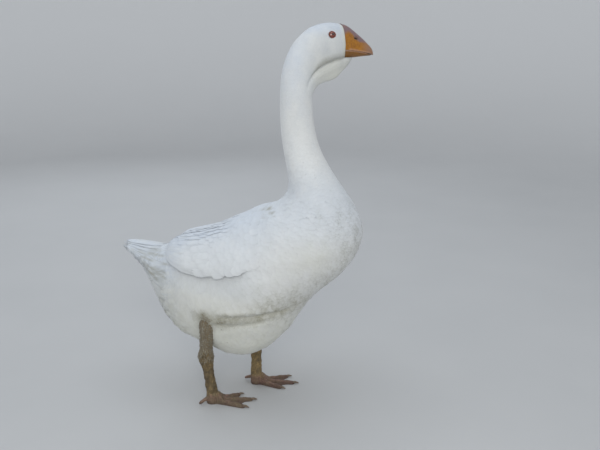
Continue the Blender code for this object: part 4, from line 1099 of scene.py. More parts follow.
def bill_material():
    m = Nodes("bill_orange_horn")
    top, nail, gape = m.split("bill")
    deep = m.attribute("bill")
    grain = m.noise(520.0, 4.0, 0.6)
    blot = m.noise(150.0, 5.0, 0.65)
    veins = m.noise(300.0, 6.0, 0.7, stretch=(1.0, 1.0, 0.55))
    col = m.mix(m.ramp(blot, 0.32, 0.66), (0.480, 0.200, 0.014), (0.325, 0.128, 0.014))
    col = m.mix(m.ramp(veins, 0.50, 0.64, 0.0, 0.62), col, (0.235, 0.088, 0.020))
    col = m.mix(m.math('MULTIPLY', nail, m.ramp(blot, 0.30, 0.62, 1.0, 0.72)), col, (0.300, 0.172, 0.118))
    # painted sky reflection: the top of the upper bill greyed towards purple
    top = m.ramp(top, 0.34, 0.96)
    col = m.mix(m.math('MULTIPLY', top, m.ramp(veins, 0.34, 0.60, 1.0, 0.66)), col, (0.190, 0.145, 0.185))
    # painted shade of the nostril: brown round it, near black in it; the lower bill has this channel at 0.62 all over,
    # which browns it evenly
    col = m.mix(m.math('MULTIPLY', deep.outputs["Alpha"], m.ramp(veins, 0.30, 0.62, 0.70, 1.0)), col,
                (0.120, 0.062, 0.026))
    col = m.mix(m.ramp(deep.outputs["Alpha"], 0.66, 0.92), col, (0.030, 0.018, 0.014))
    col = m.mix(m.math('MULTIPLY', gape, m.ramp(veins, 0.35, 0.55, 0.25, 0.90)), col, (0.560, 0.330, 0.230))
    m.colour(col)
    m.rough(m.ramp(grain, 0.2, 0.8, 0.30, 0.48))
    m.bump(m.math('ADD', m.math('MULTIPLY', grain, 0.5), veins), 0.30, 0.0007)
    m.set(Specular_IOR_Level=0.45, Subsurface_Weight=0.0)
    return m.mat


def eye_material():
    m = Nodes("eye_gloss_iris")
    r, spoke, _ = m.split("iris")
    fibre = m.noise(1500.0, 3.0, 0.6)
    col = m.mix(m.ramp(fibre, 0.3, 0.7), (0.275, 0.046, 0.015), (0.140, 0.023, 0.010))
    col = m.mix(m.ramp(r, 0.30, 0.37, 1.0, 0.0), col, (0.006, 0.004, 0.004))
    col = m.mix(m.ramp(r, 0.80, 0.98, 0.0, 1.0), col, (0.040, 0.010, 0.006))
    m.colour(col)
    m.rough(m.ramp(fibre, 0.0, 1.0, 0.05, 0.09))
    m.set(Specular_IOR_Level=0.5, Coat_Weight=1.0, Coat_Roughness=0.02, Coat_IOR=1.55)
    return m.mat


def lid_material():
    m = Nodes("eyelid_skin")
    fine = m.noise(900.0, 4.0)
    col = m.mix(m.ramp(fine, 0.3, 0.7), (0.330, 0.085, 0.050), (0.210, 0.052, 0.034))
    m.colour(col)
    m.rough(m.ramp(fine, 0.2, 0.8, 0.38, 0.55))
    m.bump(fine, 0.3, 0.0003)
    m.set(Specular_IOR_Level=0.4)
    return m.mat


def claw_material():
    m = Nodes("claw_horn")
    lines = m.noise(700.0, 3.0, 0.5, stretch=(0.3, 0.3, 1.0))
    grain = m.noise(300.0, 4.0)
    col = m.mix(m.ramp(lines, 0.3, 0.7), (0.230, 0.170, 0.120), (0.120, 0.085, 0.060))
    col = m.mix(m.ramp(grain, 0.5, 0.7, 0.0, 0.6), col, (0.270, 0.210, 0.150))
    m.colour(col)
    m.rough(m.ramp(grain, 0.2, 0.8, 0.35, 0.60))
    m.bump(lines, 0.3, 0.0004)
    m.set(Specular_IOR_Level=0.4)
    return m.mat


PLUMAGE_MAT = plumage_material("plumage_white")
SKIN_MAT = plumage_material("plumage_ground", 600.0, tufts=False)
SHANK_MAT = leg_material("leg_skin_muddy", (0.400, 0.280, 0.120), (0.285, 0.200, 0.092),
                         (0.088, 0.066, 0.038), (0.080, 0.057, 0.034))
FOOT_MAT = leg_material("foot_skin_muddy", (0.345, 0.208, 0.158), (0.200, 0.120, 0.090),
                        (0.135, 0.108, 0.066), (0.060, 0.036, 0.030), web=(0.120, 0.070, 0.060))
BILL_MAT, EYE_MAT, LID_MAT, CLAW_MAT = bill_material(), eye_material(), lid_material(), claw_material()


# ------------------------------------------------------------------ legs and feet, fine
def foot_top(r, phi):
    """Height of the foot's top: webs between padded, knuckled toes."""
    web = WEB * (0.70 + 0.25 * np.cos(phi))
    h = web.copy()
    for toe in ("outer", "middle", "inner"):
        a = math.radians(TOE_SPREAD[toe])
        along, across = r * np.cos(phi - a), r * np.sin(phi - a)
        reach = TOE_LENGTH[toe]
        f = np.clip(along / reach, 0, 1)
        knob = 1 + 0.15 * np.cos(f * (5 if toe == "middle" else 4) * math.pi) ** 2
        half = TOE_HALF * (1.0 - 0.25 * f) * knob
        rise = TOE_RISE * (1.0 - 0.42 * f) * knob
        k = np.maximum(0.0, 1 - (across / half) ** 2) * (along > 0)
        h = np.maximum(h, web + (rise - web) * np.sqrt(k))
    folds = 0.00030 * np.sin(phi * 34 + 3 * np.sin(r * 90)) * smoothstep(0.02, 0.04, r)
    h = h + folds * (h < web + 0.0006)
    h = h + np.maximum(0.0, 0.0225 - h) * (1 - smoothstep(0.0095, 0.030, r))
    return h


def foot_solid(leg, sides=150, steps=34):
    ax, ay, _ = leg["ankle"]
    head, outer = math.radians(leg["heading"]), leg["outer"]
    toes = [math.radians(TOE_SPREAD[n]) for n in ("inner", "middle", "outer")]
    front = np.linspace(toes[0] - 0.16, toes[2] + 0.16, sides - 30)
    back = np.linspace(toes[2] + 0.16, toes[0] - 0.16 + TAU, 32)[1:-1]
    phis = np.concatenate([front, back])
    wrapped = (phis + math.pi) % TAU - math.pi
    reach = np.array([foot_reach(p) for p in wrapped])
    ang = head + outer * wrapped
    cs, sn = np.cos(ang), np.sin(ang)
    rings = []
    for i in range(1, steps + 1):
        r = reach * (i / steps) ** 0.85
        z = foot_top(r, wrapped)
        edge = smoothstep(0.93, 1.0, i / steps)
        z = z * (1 - edge) + np.minimum(z, WEB) * 0.55 * edge
        rings.append(np.stack([ax + r * cs, ay + r * sn, z], -1))
    rings.append(np.stack([ax + (reach - 0.0006) * cs, ay + (reach - 0.0006) * sn, 0 * reach], -1))
    return tube(rings)


def leg_line(leg, thin=0.0):
    """Centre points and radii from inside the body to the ankle."""
    knee, thigh, hock, ankle = (np.array(leg[k]) for k in ("knee", "thigh", "hock", "ankle"))
    pts, rad = [], []
    for t, across, along in ((0.0, 0.0150, 0.0180), (0.25, 0.0145, 0.0165), (0.45, 0.0130, 0.0150),
                             (0.62, 0.0120, 0.0136), (0.78, TIBIA_LOW_R, 0.0130),
                             (0.90, TIBIA_LOW_R, 0.0138), (0.97, 0.0122, HOCK_R)):
        p = knee + (thigh - knee) * min(t / 0.45, 1.0) if t < 0.45 \
            else thigh + (hock - thigh) * (t - 0.45) / 0.55
        less = thin * (1 - float(smoothstep(0.80, 0.95, t)))
        pts.append(p)
        rad.append((across - less, along - less))
    for f, across, along in ((0.0, 0.0120, 0.0152), (0.14, 0.0108, 0.0136), (0.30, SHANK_R * 0.90, SHANK_R * 1.10),
                             (0.55, SHANK_R * 0.84, SHANK_R * 1.02), (0.78, SHANK_R * 0.90, SHANK_R * 1.04),
                             (0.92, SHANK_R, SHANK_R * 1.10), (1.0, SHANK_R, SHANK_R * 1.10),
                             (1.28, SHANK_R * 0.8, SHANK_R * 0.9)):
        pts.append(hock + (ankle - hock) * f)
        rad.append((across, along))
    return np.array(pts), np.array(rad)


def leg_grid(leg, thin, count, sides):
    """Even rings down the leg from its line, as an array (count, sides, 3)."""
    pts, rad = leg_line(leg, thin)
    t = np.concatenate([[0.0], np.cumsum(np.linalg.norm(np.diff(pts, axis=0), axis=1))])
    row = np.hstack([pts, rad])
    keep = np.r_[True, np.diff(t) > 1e-6]
    t, row = t[keep], row[keep]
    m = natural_spline(t, row)
    s = np.linspace(0, t[-1], count)
    g = spline_at(t, row, m, s)
    d = unit(np.gradient(g[:, :3], axis=0))
    side = np.array([0.0, 1.0, 0.0])
    x = unit(side - d * (d @ side)[:, None])
    yv = np.cross(d, x)
    b = np.arange(sides) * TAU / sides
    return s, (g[:, None, :3] + x[:, None] * (g[:, 3, None] * np.cos(b))[..., None]
               + yv[:, None] * (g[:, 4, None] * np.sin(b))[..., None]), g[:, :3]


def hind_toe_solid(leg):
    ax, ay, _ = leg["ankle"]
    a = math.radians(leg["heading"]) + leg["outer"] * math.radians(-28.0) + math.pi
    d = np.array([math.cos(a), math.sin(a), 0.0])
    x, rings = np.array([-d[1], d[0], 0.0]), []
    root = np.array([ax, ay, 0.0]) + d * 0.0086 + np.array([0, 0, 0.0125])
    for f in np.linspace(0, 1, 14):
        p = root + d * ((HIND_TOE + 0.005) * f) + np.array([0, 0, -0.0083 * f ** 1.2])
        r = 0.0044 * (1 - 0.25 * f) * math.sqrt(max(1 - max(0.0, (f - 0.82) / 0.19) ** 2, 0.02))
        b = np.arange(20) * TAU / 20
        rings.append(p + x * (r * np.cos(b))[:, None] + np.array([0, 0, 1.0]) * (0.92 * r * np.sin(b))[:, None])
    return tube(rings)


def scale_cells(p, size, seed):
    """For each point: distance to the border between scales, 0 at the border, and the scale's number."""
    rng = np.random.default_rng(seed)
    lo, hi = p.min(0) - size, p.max(0) + size
    shape = np.ceil((hi - lo) / size).astype(int)
    grid = np.stack(np.meshgrid(*[np.arange(s) for s in shape], indexing="ij"), -1).reshape(-1, 3)
    seeds = lo + (grid + 0.5 + rng.uniform(-0.36, 0.36, grid.shape)) * size
    tree = KDTree(len(seeds))
    for i, s in enumerate(seeds.tolist()):
        tree.insert(s, i)
    tree.balance()
    edge, num = np.zeros(len(p)), np.zeros(len(p), int)
    for i, q in enumerate(p.tolist()):
        near = tree.find_n(q, 2)
        edge[i] = near[1][2] - near[0][2]
        num[i] = near[0][1]
    return edge / size, num


def apply_all(ob):
    """Bakes an object's modifiers into its mesh."""
    graph = bpy.context.evaluated_depsgraph_get()
    me = bpy.data.meshes.new_from_object(ob.evaluated_get(graph))
    ob.modifiers.clear()
    old = ob.data
    ob.data = me
    bpy.data.meshes.remove(old)


def leg_piece(tag, leg):
    """One closed leg: thigh stub, shank, foot and hind toe run together, with scales and mud."""
    _, rings, _ = leg_grid(leg, 0.0022, 110, 56)
    verts, faces = tube(list(rings))
    for v, f in (foot_solid(leg), hind_toe_solid(leg)):
        n = len(verts)
        verts, faces = list(verts) + list(v), faces + [tuple(i + n for i in q) for q in f]
    ob = new_mesh("leg_" + tag, verts, faces, shift=False)
    outward_faces(ob)
    mod = ob.modifiers.new("join", 'REMESH')
    mod.mode, mod.voxel_size = 'VOXEL', 0.00105
    apply_all(ob)
    me = ob.data
    co = np.zeros(len(me.vertices) * 3)
    me.vertices.foreach_get("co", co)
    co = co.reshape(-1, 3)
    bm = bmesh.new()
    bm.from_mesh(me)
    for _ in range(4):
        bmesh.ops.smooth_vert(bm, verts=bm.verts[:], factor=0.5, use_axis_x=True, use_axis_y=True,
                              use_axis_z=True)
    bm.to_mesh(me)
    bm.free()
    me.vertices.foreach_get("co", co.reshape(-1))
    flat = co.ravel().copy()
    me.vertices.foreach_get("co", flat)
    co = flat.reshape(-1, 3)
    nrm = np.zeros(len(me.vertices) * 3)
    me.vertices.foreach_get("normal", nrm)
    nrm = nrm.reshape(-1, 3)
    z = co[:, 2]
    edge, num = scale_cells(co * np.array([1.0, 1.0, 0.86]), 0.0028, 5 + (tag == "R"))
    plate = smoothstep(0.02, 0.30, edge)
    on_scales = (1 - smoothstep(0.105, 0.118, z)) * smoothstep(0.0015, 0.004, z)
    lumps = wave_noise(co, 0.013, 41 + (tag == "L"), 3)
    crumbs = wave_noise(co, 0.0045, 43, 2)
    caked = smoothstep(0.012, 0.030, z) * (1 - smoothstep(0.120, 0.20, z))
    push = on_scales * (plate - 0.55) * 0.00042 \
        + caked * (np.clip(lumps, -0.3, 1) * 0.00110 + np.clip(crumbs, 0, 1) * 0.00045)
    push = push * smoothstep(0.0008, 0.003, z)
    co = co + nrm * push[:, None]
    co[:, 2] = np.where(z < 0.0009, np.maximum(co[:, 2] * 0.0, 0.0), co[:, 2])
    me.vertices.foreach_set("co", co.ravel())
    me.update()
    return ob


def boolean(ob, other, how):
    mod = ob.modifiers.new(how.lower(), 'BOOLEAN')
    mod.operation, mod.solver, mod.object = how, 'EXACT', other
    apply_all(ob)
    bpy.data.objects.remove(other)


# ------------------------------------------------------------------ the skin
def ring_of(surf, depth, v, sides):
    th = np.arange(sides) * TAU / sides
    g = surf.at(np.full(sides, v), th, 0, 6)
    return g[:, 0:3] - unit(g[:, 3:6]) * depth(np.full(sides, v), th)[:, None]


def build_skin():
    count, sides = ((330, 144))
    t = np.linspace(0, 1, count)
    vs = AT["tail_tip"] + 0.010 + (AT["bill_base"] - AT["tail_tip"] - 0.010) * t
    rings = [ring_of(PLUMAGE, coat_depth, v, sides) for v in vs]
    for v, ring in zip(vs, rings):                       # thin where the tail's feathers close on each other
        mid = ring[:, 2].mean()
        ring[:, 2] = mid + (ring[:, 2] - mid) * (0.32 + 0.68 * smoothstep(0.008, 0.060, v))
    skin = new_mesh("skin", *tube(rings), shift=False)
    outward_faces(skin)
    # room for the bill ahead of the feather line, and for the eyeballs
    verts, faces = [], []
    ss = np.linspace(-0.034, 0.034, 41)
    zs = np.concatenate([[CHIN_TOP - 0.0008], np.linspace(0.690, 0.752, 22)])
    for s in ss:
        for z in zs:
            verts.append(head_point(base_line(s, z) - 0.0004, s, z))
        for u, z in ((0.08, 0.80), (0.24, 0.80), (0.24, CHIN_TOP - 0.0008)):
            verts.append(head_point(u, s, z))
    n, m = len(ss), len(zs) + 3
    for i in range(n - 1):
        for j in range(m):
            k = (j + 1) % m
            faces.append((m * i + j, m * i + k, m * i + m + k, m * i + m + j))
    faces += [tuple(range(m)), tuple(m * (n - 1) + j for j in range(m - 1, -1, -1))]
    for side in (1, -1):
        c, axis = EYES[side]
        v2, f2 = globe(c, axis, EYE_RADIUS + 0.0003, 40, 28)[:2]
        k = len(verts)
        verts, faces = list(verts) + list(v2), faces + [tuple(i + k for i in q) for q in f2]
    room = new_mesh("room", verts, faces, shift=False)
    outward_faces(room)
    boolean(skin, room, 'DIFFERENCE')
    for tag, leg in LEGS.items():
        boolean(skin, leg_piece(tag, leg), 'UNION')
    me = skin.data
    nv = len(me.vertices)
    co = np.zeros(nv * 3)
    me.vertices.foreach_get("co", co)
    co = co.reshape(-1, 3)
    # leg and foot skin by place
    near_leg, t_leg = np.full(nv, 9.0), np.zeros(nv)
    for tag, leg in LEGS.items():
        _, _, line = leg_grid(leg, 0.0, 60, 8)
        d = np.linalg.norm(co[:, None, :] - line[None, :, :], axis=2)
        near_leg = np.minimum(near_leg, d.min(1))
    z = co[:, 2]
    is_leg = (near_leg < 0.024) & (z < 0.200) & (np.abs(co[:, 1]) > 0.030) | (z < 0.060)
    is_body = ~is_leg
    ridge = smoothstep(0.0042, 0.0085, z)
    me.materials.clear()
    for m in (SKIN_MAT, SHANK_MAT, FOOT_MAT):
        me.materials.append(m)
    loops = np.zeros(len(me.loops), int)
    me.loops.foreach_get("vertex_index", loops)
    starts = np.zeros(len(me.polygons), int)
    me.polygons.foreach_get("loop_start", starts)
    first = loops[starts]
    idx = np.where(is_body[first], 0, np.where(z[first] < 0.0245, 2, 1))
    me.polygons.foreach_set("material_index", idx.astype(np.int32))
    me.polygons.foreach_set("use_smooth", np.ones(len(starts), bool))
    mk = markings(co)
    near = co[:, 1] < 0
    earth = np.where(near, 0.92, 0.42) + 0.35 * wave_noise(co, 0.014, 51, 3)
    earth = earth * (0.50 + 0.50 * smoothstep(0.010, 0.035, z))
    edge, _ = scale_cells(co[is_leg] * np.array([1.0, 1.0, 0.86]), 0.0028, 5)
    cell = np.ones(nv)
    cell[is_leg] = edge
    skn = np.stack([np.clip(earth, 0, 1), ridge, np.clip(cell, 0, 1), smoothstep(0.012, 0.027, z)], -1)
    for key, val in (("marks", mk), ("skin", skn)):
        c = me.color_attributes.new(key, 'FLOAT_COLOR', 'POINT')
        c.data.foreach_set("color", val.astype(np.float32).ravel())
    me.vertices.foreach_set("co", (co + SHIFT).astype(np.float32).ravel())
    me.update()
    print("  skin:", nv, "points,", len(starts), "faces")
    return skin


def globe(centre, axis, radius, sides, rows, cornea=0.0):
    """A ball about axis; returns points, faces and each point's angle from the axis."""
    z = unit(np.asarray(axis, float))
    x = unit(np.cross(z, np.array([0.0, 0.0, 1.0])))
    y = np.cross(z, x)
    verts, faces, ang = [], [], []
    for i in range(1, rows):
        a = math.pi * (i / rows) ** (1.25 if cornea else 1.0)
        r = radius + cornea * math.exp(-(a / 0.40) ** 2)
        for j in range(sides):
            b = TAU * j / sides
            verts.append(centre + z * (r * math.cos(a)) + (x * math.cos(b) + y * math.sin(b)) * (r * math.sin(a)))
            ang.append(a)
    for i in range(rows - 2):
        for j in range(sides):
            k = (j + 1) % sides
            faces.append((i * sides + j, (i + 1) * sides + j, (i + 1) * sides + k, i * sides + k))
    top, bottom = len(verts), len(verts) + 1
    verts += [centre + z * (radius + cornea), centre - z * radius]
    ang += [0.0, math.pi]
    for j in range(sides):
        k = (j + 1) % sides
        faces.append((j, k, top))
        faces.append(((rows - 2) * sides + k, (rows - 2) * sides + j, bottom))
    return verts, faces, ang


def build_eye(tag, side):
    c, axis = EYES[side]
    verts, faces, ang = globe(c, axis, EYE_RADIUS, 56, 40, cornea=0.00025)
    ob = new_mesh("eyeball_" + tag, verts, faces, [EYE_MAT])
    outward_faces(ob)
    opening = math.asin(0.0054 / EYE_RADIUS)
    r = np.clip(np.array(ang) / opening, 0, 2)
    val = np.stack([r, 0 * r, 0 * r, np.ones_like(r)], -1)
    col = ob.data.color_attributes.new("iris", 'FLOAT_COLOR', 'POINT')
    col.data.foreach_set("color", val.astype(np.float32).ravel())
    # lids: a fleshy ring, a little longer than high and drawn to a point fore and aft
    z = unit(axis)
    up = unit(np.array([0, 0, 1.0]) - z * z[2])
    fwd = unit(HEAD_F - z * np.dot(HEAD_F, z))
    up = unit(up - fwd * np.dot(up, fwd))
    rings = []
    n = 72
    for j in range(n):
        b = TAU * j / n
        cb, sb = math.cos(b), math.sin(b)
        long = 1 + 0.10 * abs(cb) ** 6
        ring = []
        for k in range(16):
            a = TAU * k / 16
            # section: a flattened bead resting on the ball's edge
            mid = (0.00602 + 0.0002 * abs(cb)) * long
            rr = mid + 0.00066 * math.cos(a)
            lift = 0.00060 * math.sin(a) * (1.0 + 0.20 * (sb > 0) * sb)
            crease = 0.00010 * math.sin(9 * b + 2 * math.sin(3 * b)) * (math.sin(a) > 0)
            base = math.sqrt(max(EYE_RADIUS ** 2 - 0.0056 ** 2, 0)) + 0.00020
            ring.append(c + z * (base + lift + crease) + (fwd * cb + up * sb * 0.96) * rr)
        rings.append(np.array(ring))
    m = 16
    verts = [p for r_ in rings for p in r_]
    faces = [(i * m + k, i * m + (k + 1) % m, ((i + 1) % n) * m + (k + 1) % m, ((i + 1) % n) * m + k)
             for i in range(n) for k in range(m)]
    lid = new_mesh("eyelid_" + tag, verts, faces, [LID_MAT])
    outward_faces(lid)
    return ob, lid


# ------------------------------------------------------------------ bill
def fine_bill(name, table, dome):
    rows = np.array(table)
    t = np.concatenate([[0.0], np.cumsum(np.hypot(np.diff(rows[:, 0]), np.diff(rows[:, 1])))])
    m = natural_spline(t, rows)
    steps, sides = 110, 96
    xs = np.linspace(0, t[-1], steps)
    g = spline_at(t, rows, m, xs)
    rings, attr = [], []
    a = np.arange(sides) * TAU / sides
    c, s = np.cos(a), np.sin(a)
    for i in range(steps):
        u, top, bottom, w = g[i]
        flat, far = (top, bottom) if dome < 0 else (bottom, top)
        tall = far - flat
        lift = np.where(c > 0, np.abs(c) ** 0.80 * tall, 0.0)
        side = np.sign(s) * np.abs(s) ** 0.72 * w * (1.0 - 0.10 * np.maximum(c, 0.0))
        z = flat + lift
        if dome > 0:
            z = z - 0.0011 * np.maximum(c, 0) * (1 - smoothstep(0.088, 0.108, u))
        near = base_line(side, z) + 0.0001
        uu = np.maximum(u, near) if i < steps - 1 else np.full(sides, u)
        rel = np.maximum(c, 0) ** 0.8
        edge = (c > -0.02) * (1 - smoothstep(0.0006, 0.0026, np.abs(z - flat)))
        if dome > 0:
            f = (u - 0.0955) / (0.1582 - 0.0955)
            # ridge along the culmen, hollow below it, a rolled edge, fine plates inside the gape
            ridge = 0.00055 * np.exp(-(s / 0.30) ** 2) * (c > 0) * (1 - smoothstep(0.75, 0.95, f))
            hollow = -0.0010 * np.exp(-((rel - 0.60) / 0.18) ** 2) * smoothstep(0.08, 0.30, f) \
                * (1 - smoothstep(0.62, 0.85, f))
            roll = 0.0006 * edge * smoothstep(0.05, 0.15, f) * (1 - smoothstep(0.85, 0.98, f))
            comb = 0.00035 * edge * np.sin((u - 0.0955) / 0.0017 * TAU) * (1 - smoothstep(0.62, 0.74, f))
            nose = np.exp(-((u - 0.1165) / 0.0050) ** 2 - ((z - 0.7215 + 0.25 * (u - 0.1165)) / 0.0019) ** 2) * (c > 0)
            rim = np.exp(-((u - 0.1165) / 0.0074) ** 2 - ((z - 0.7218 + 0.25 * (u - 0.1165)) / 0.0036) ** 2) * (c > 0)
            nail = smoothstep(0.850, 0.880, f) * (c > 0)
            folds = 0.00022 * np.sin((u + 0.35 * (z - 0.70)) / 0.0041 * TAU) * (1 - smoothstep(0.15, 0.55, f)) \
                * smoothstep(0.15, 0.40, rel)
            push = ridge + hollow + roll + comb + folds - 0.0027 * nose + 0.0009 * (rim - nose) + 0.00045 * nail
            gape = edge * (1 - smoothstep(0.72, 0.88, f)) * smoothstep(0.03, 0.10, f)
            top_sheen = smoothstep(0.46, 0.80, rel + 0.10 * np.sin(u / 0.006)) * (1 - smoothstep(0.62, 0.90, f))
            attr.append(np.stack([top_sheen, np.full(sides, 1.0) * smoothstep(0.50, 0.90, f + 0.10 * (1 - rel)),
                                  gape, np.clip(nose * 1.4, 0, 1)], -1))
        else:
            f = (u - 0.0955) / (0.1540 - 0.0955)
            comb = 0.00030 * edge * np.sin((u - 0.0955) / 0.0017 * TAU) * (1 - smoothstep(0.62, 0.74, f))
            push = comb
            attr.append(np.stack([0.25 + 0 * rel, np.full(sides, 1.0) * smoothstep(0.65, 0.97, f) * 0.7,
                                  edge * (1 - smoothstep(0.7, 0.85, f)), 0.62 + 0 * rel], -1))
        ny, nz = s, np.maximum(c, 0.05) * (1 if dome > 0 else -1)
        k = np.hypot(ny, nz)
        side = side + push * ny / k
        z = z + push * nz / k
        rings.append(np.stack([HEAD_O[0] + uu * HEAD_F[0] + side * HEAD_L[0],
                               uu * HEAD_F[1] + side * HEAD_L[1], z], -1))
    verts, faces = tube(rings)
    ob = new_mesh(name, verts, faces, [BILL_MAT])
    outward_faces(ob)
    val = np.concatenate(attr + [attr[0][:1], attr[-1][:1]])
    col = ob.data.color_attributes.new("bill", 'FLOAT_COLOR', 'POINT')
    col.data.foreach_set("color", val.astype(np.float32).ravel())
    ob.data.set_sharp_from_angle(angle=math.radians(50))
    return ob


def fine_claw(name, leg, toe):
    ax, ay, _ = leg["ankle"]
    a = math.radians(leg["heading"]) + leg["outer"] * math.radians(TOE_SPREAD[toe])
    d = np.array([math.cos(a), math.sin(a), 0.0])
    s = np.array([-d[1], d[0], 0.0])
    up = np.array([0, 0, 1.0])
    root = np.array([ax, ay, 0.0]) + d * (TOE_LENGTH[toe] + 0.0005)
    rings = []
    for f in np.linspace(-0.50, 1, 30):
        out = max(f, 0.0)
        c = root + d * (CLAW_LENGTH * f) + up * (0.0034 - 0.0018 * out * out)
        w, h = 0.0030 * (1 - 0.72 * out ** 1.4), 0.0026 * (1 - 0.70 * out ** 1.2)
        w, h = w * (1 + 0.5 * min(f, 0.0)), h * (1 + 0.3 * min(f, 0.0))
        tip = math.sqrt(max(1 - max(0.0, (f - 0.9) / 0.101) ** 2, 0.03))
        b = np.arange(26) * TAU / 26
        grow_ = 1 + 0.03 * math.sin(f * 60)
        hollow = 1 - 0.25 * np.exp(-((np.sin(b) + 1) / 0.5) ** 2)
        rings.append(c + s * (w * tip * np.cos(b))[:, None] * grow_ + up * (h * tip * np.sin(b) * hollow)[:, None])
    ob = new_mesh(name, *tube(rings), [CLAW_MAT])
    outward_faces(ob)
    return ob


# ------------------------------------------------------------------ the coat, tract by tract
LOOK_BODY = Look((0.0, 0.32, 0.58, 0.80, 0.93, 1.0), (0.60, 1.0, 1.0, 0.99, 0.88, 0.58), 7,
                 slope=0.040, camber=0.024, round_tip=0.45, jag=0.035, split=0.0)
LOOK_SOFT = Look((0.0, 0.30, 0.56, 0.78, 0.92, 1.0), (0.60, 1.0, 1.0, 0.96, 0.80, 0.44), 7,
                 slope=0.044, camber=0.030, round_tip=0.35, jag=0.080, split=0.0)
LOOK_NECK = Look((0.0, 0.40, 0.72, 0.92, 1.0), (0.55, 1.0, 1.0, 0.86, 0.50), 4,
                 slope=0.022, camber=0.030, round_tip=0.35, jag=0.04, split=0.0)
LOOK_HEAD = Look((0.0, 0.45, 0.82, 1.0), (0.60, 1.0, 0.94, 0.50), 3,
                 slope=0.045, camber=0.040, round_tip=0.30, jag=0.04, split=0.0)
LOOK_THIGH = Look((0.0, 0.35, 0.68, 0.90, 1.0), (0.5, 1.0, 0.92, 0.62, 0.22), 4,
                  slope=0.120, camber=0.120, round_tip=0.25, jag=0.12, split=0.3)

SPACING = (np.array([AT[k] for k in ("tail_tip", "vent", "rump", "loin", "belly", "keel", "crop", "breast",
                                     "breast_top", "neck_foot", "neck_root", "neck_low", "neck_mid", "poll",
                                     "hind_head", "crown_back", "brow", "bill_base")]),
           np.array([0.0050, 0.0054, 0.0060, 0.0062, 0.0062, 0.0058, 0.0051, 0.0047,
                     0.0044, 0.0039, 0.0034, 0.0029, 0.0026, 0.0023,
                     0.0018, 0.0016, 0.00145, 0.00130]))


def body_spacing(a, b):
    s = np.interp(a, *SPACING)
    t, _ = side_of(b)
    p = FLANK.at(a, b, 0, 3)
    ru, rl, du, dl = fold_lines(p[..., 0], p[..., 1], p[..., 2])
    by_fold = np.maximum(ru * np.exp(-(du / 0.008) ** 2), rl * np.exp(-(dl / 0.007) ** 2))
    s = s * (1 - 0.36 * by_fold)
    return s * 1.0


def off_wing(a, b):
    q = wing_share(a, b)
    return (a > WING_FRONT - 0.135) | (a < WING_TIP + 0.004) | (q > 0.84)


def on_wing(a, b):
    q = wing_share(a, b)
    return (a <= WING_FRONT - 0.098) & (a >= WING_TIP + 0.002) & (q <= 0.945)


def clear_of_face(a, b):
    """Roots keep off the eyelids and the bill."""
    p = PLUMAGE.at(a, b, 0, 3)
    ok = np.ones(a.shape, bool)
    for side in (1, -1):
        c, n = EYES[side]
        d = p - c
        along = d @ n
        ok &= ~((np.linalg.norm(d - along[..., None] * n, axis=-1) < 0.0069) & (along > 0))
    u, s = (p - HEAD_O) @ HEAD_F, (p - HEAD_O) @ HEAD_L
    ok &= (u < base_line(s, p[..., 2]) - 0.0003) | (p[..., 2] < CHIN_TOP - 0.0010)
    return ok


def short_of_eye(a, b, length):
    """Feathers that lie towards an eyelid end before it."""
    g = PLUMAGE.at(a, b)
    p, t = g[..., 0:3], -unit(g[..., 6:9])
    out = length.copy()
    for side in (1, -1):
        c, n = EYES[side]
        d = c - p
        d = d - (d @ n)[..., None] * n
        dist = np.linalg.norm(d, axis=-1)
        ahead = (d * t).sum(-1)
        miss = np.sqrt(np.maximum(dist ** 2 - ahead ** 2, 0))
        facing = ((p - c) @ n) > 0
        hit = facing & (ahead > 0) & (miss < 0.0072) & (dist < 0.016)
        room = ahead - np.sqrt(np.maximum(0.0067 ** 2 - miss ** 2, 0))
        out = np.where(hit, np.clip(room, 0.0009, length), out)
    return out


def unwrap_of(a_lo, a_hi):
    def f(a, b):
        return np.mod(b, TAU) / TAU * 0.97 + 0.015, 0.02 + 0.96 * (a - a_lo) / (a_hi - a_lo)
    return f


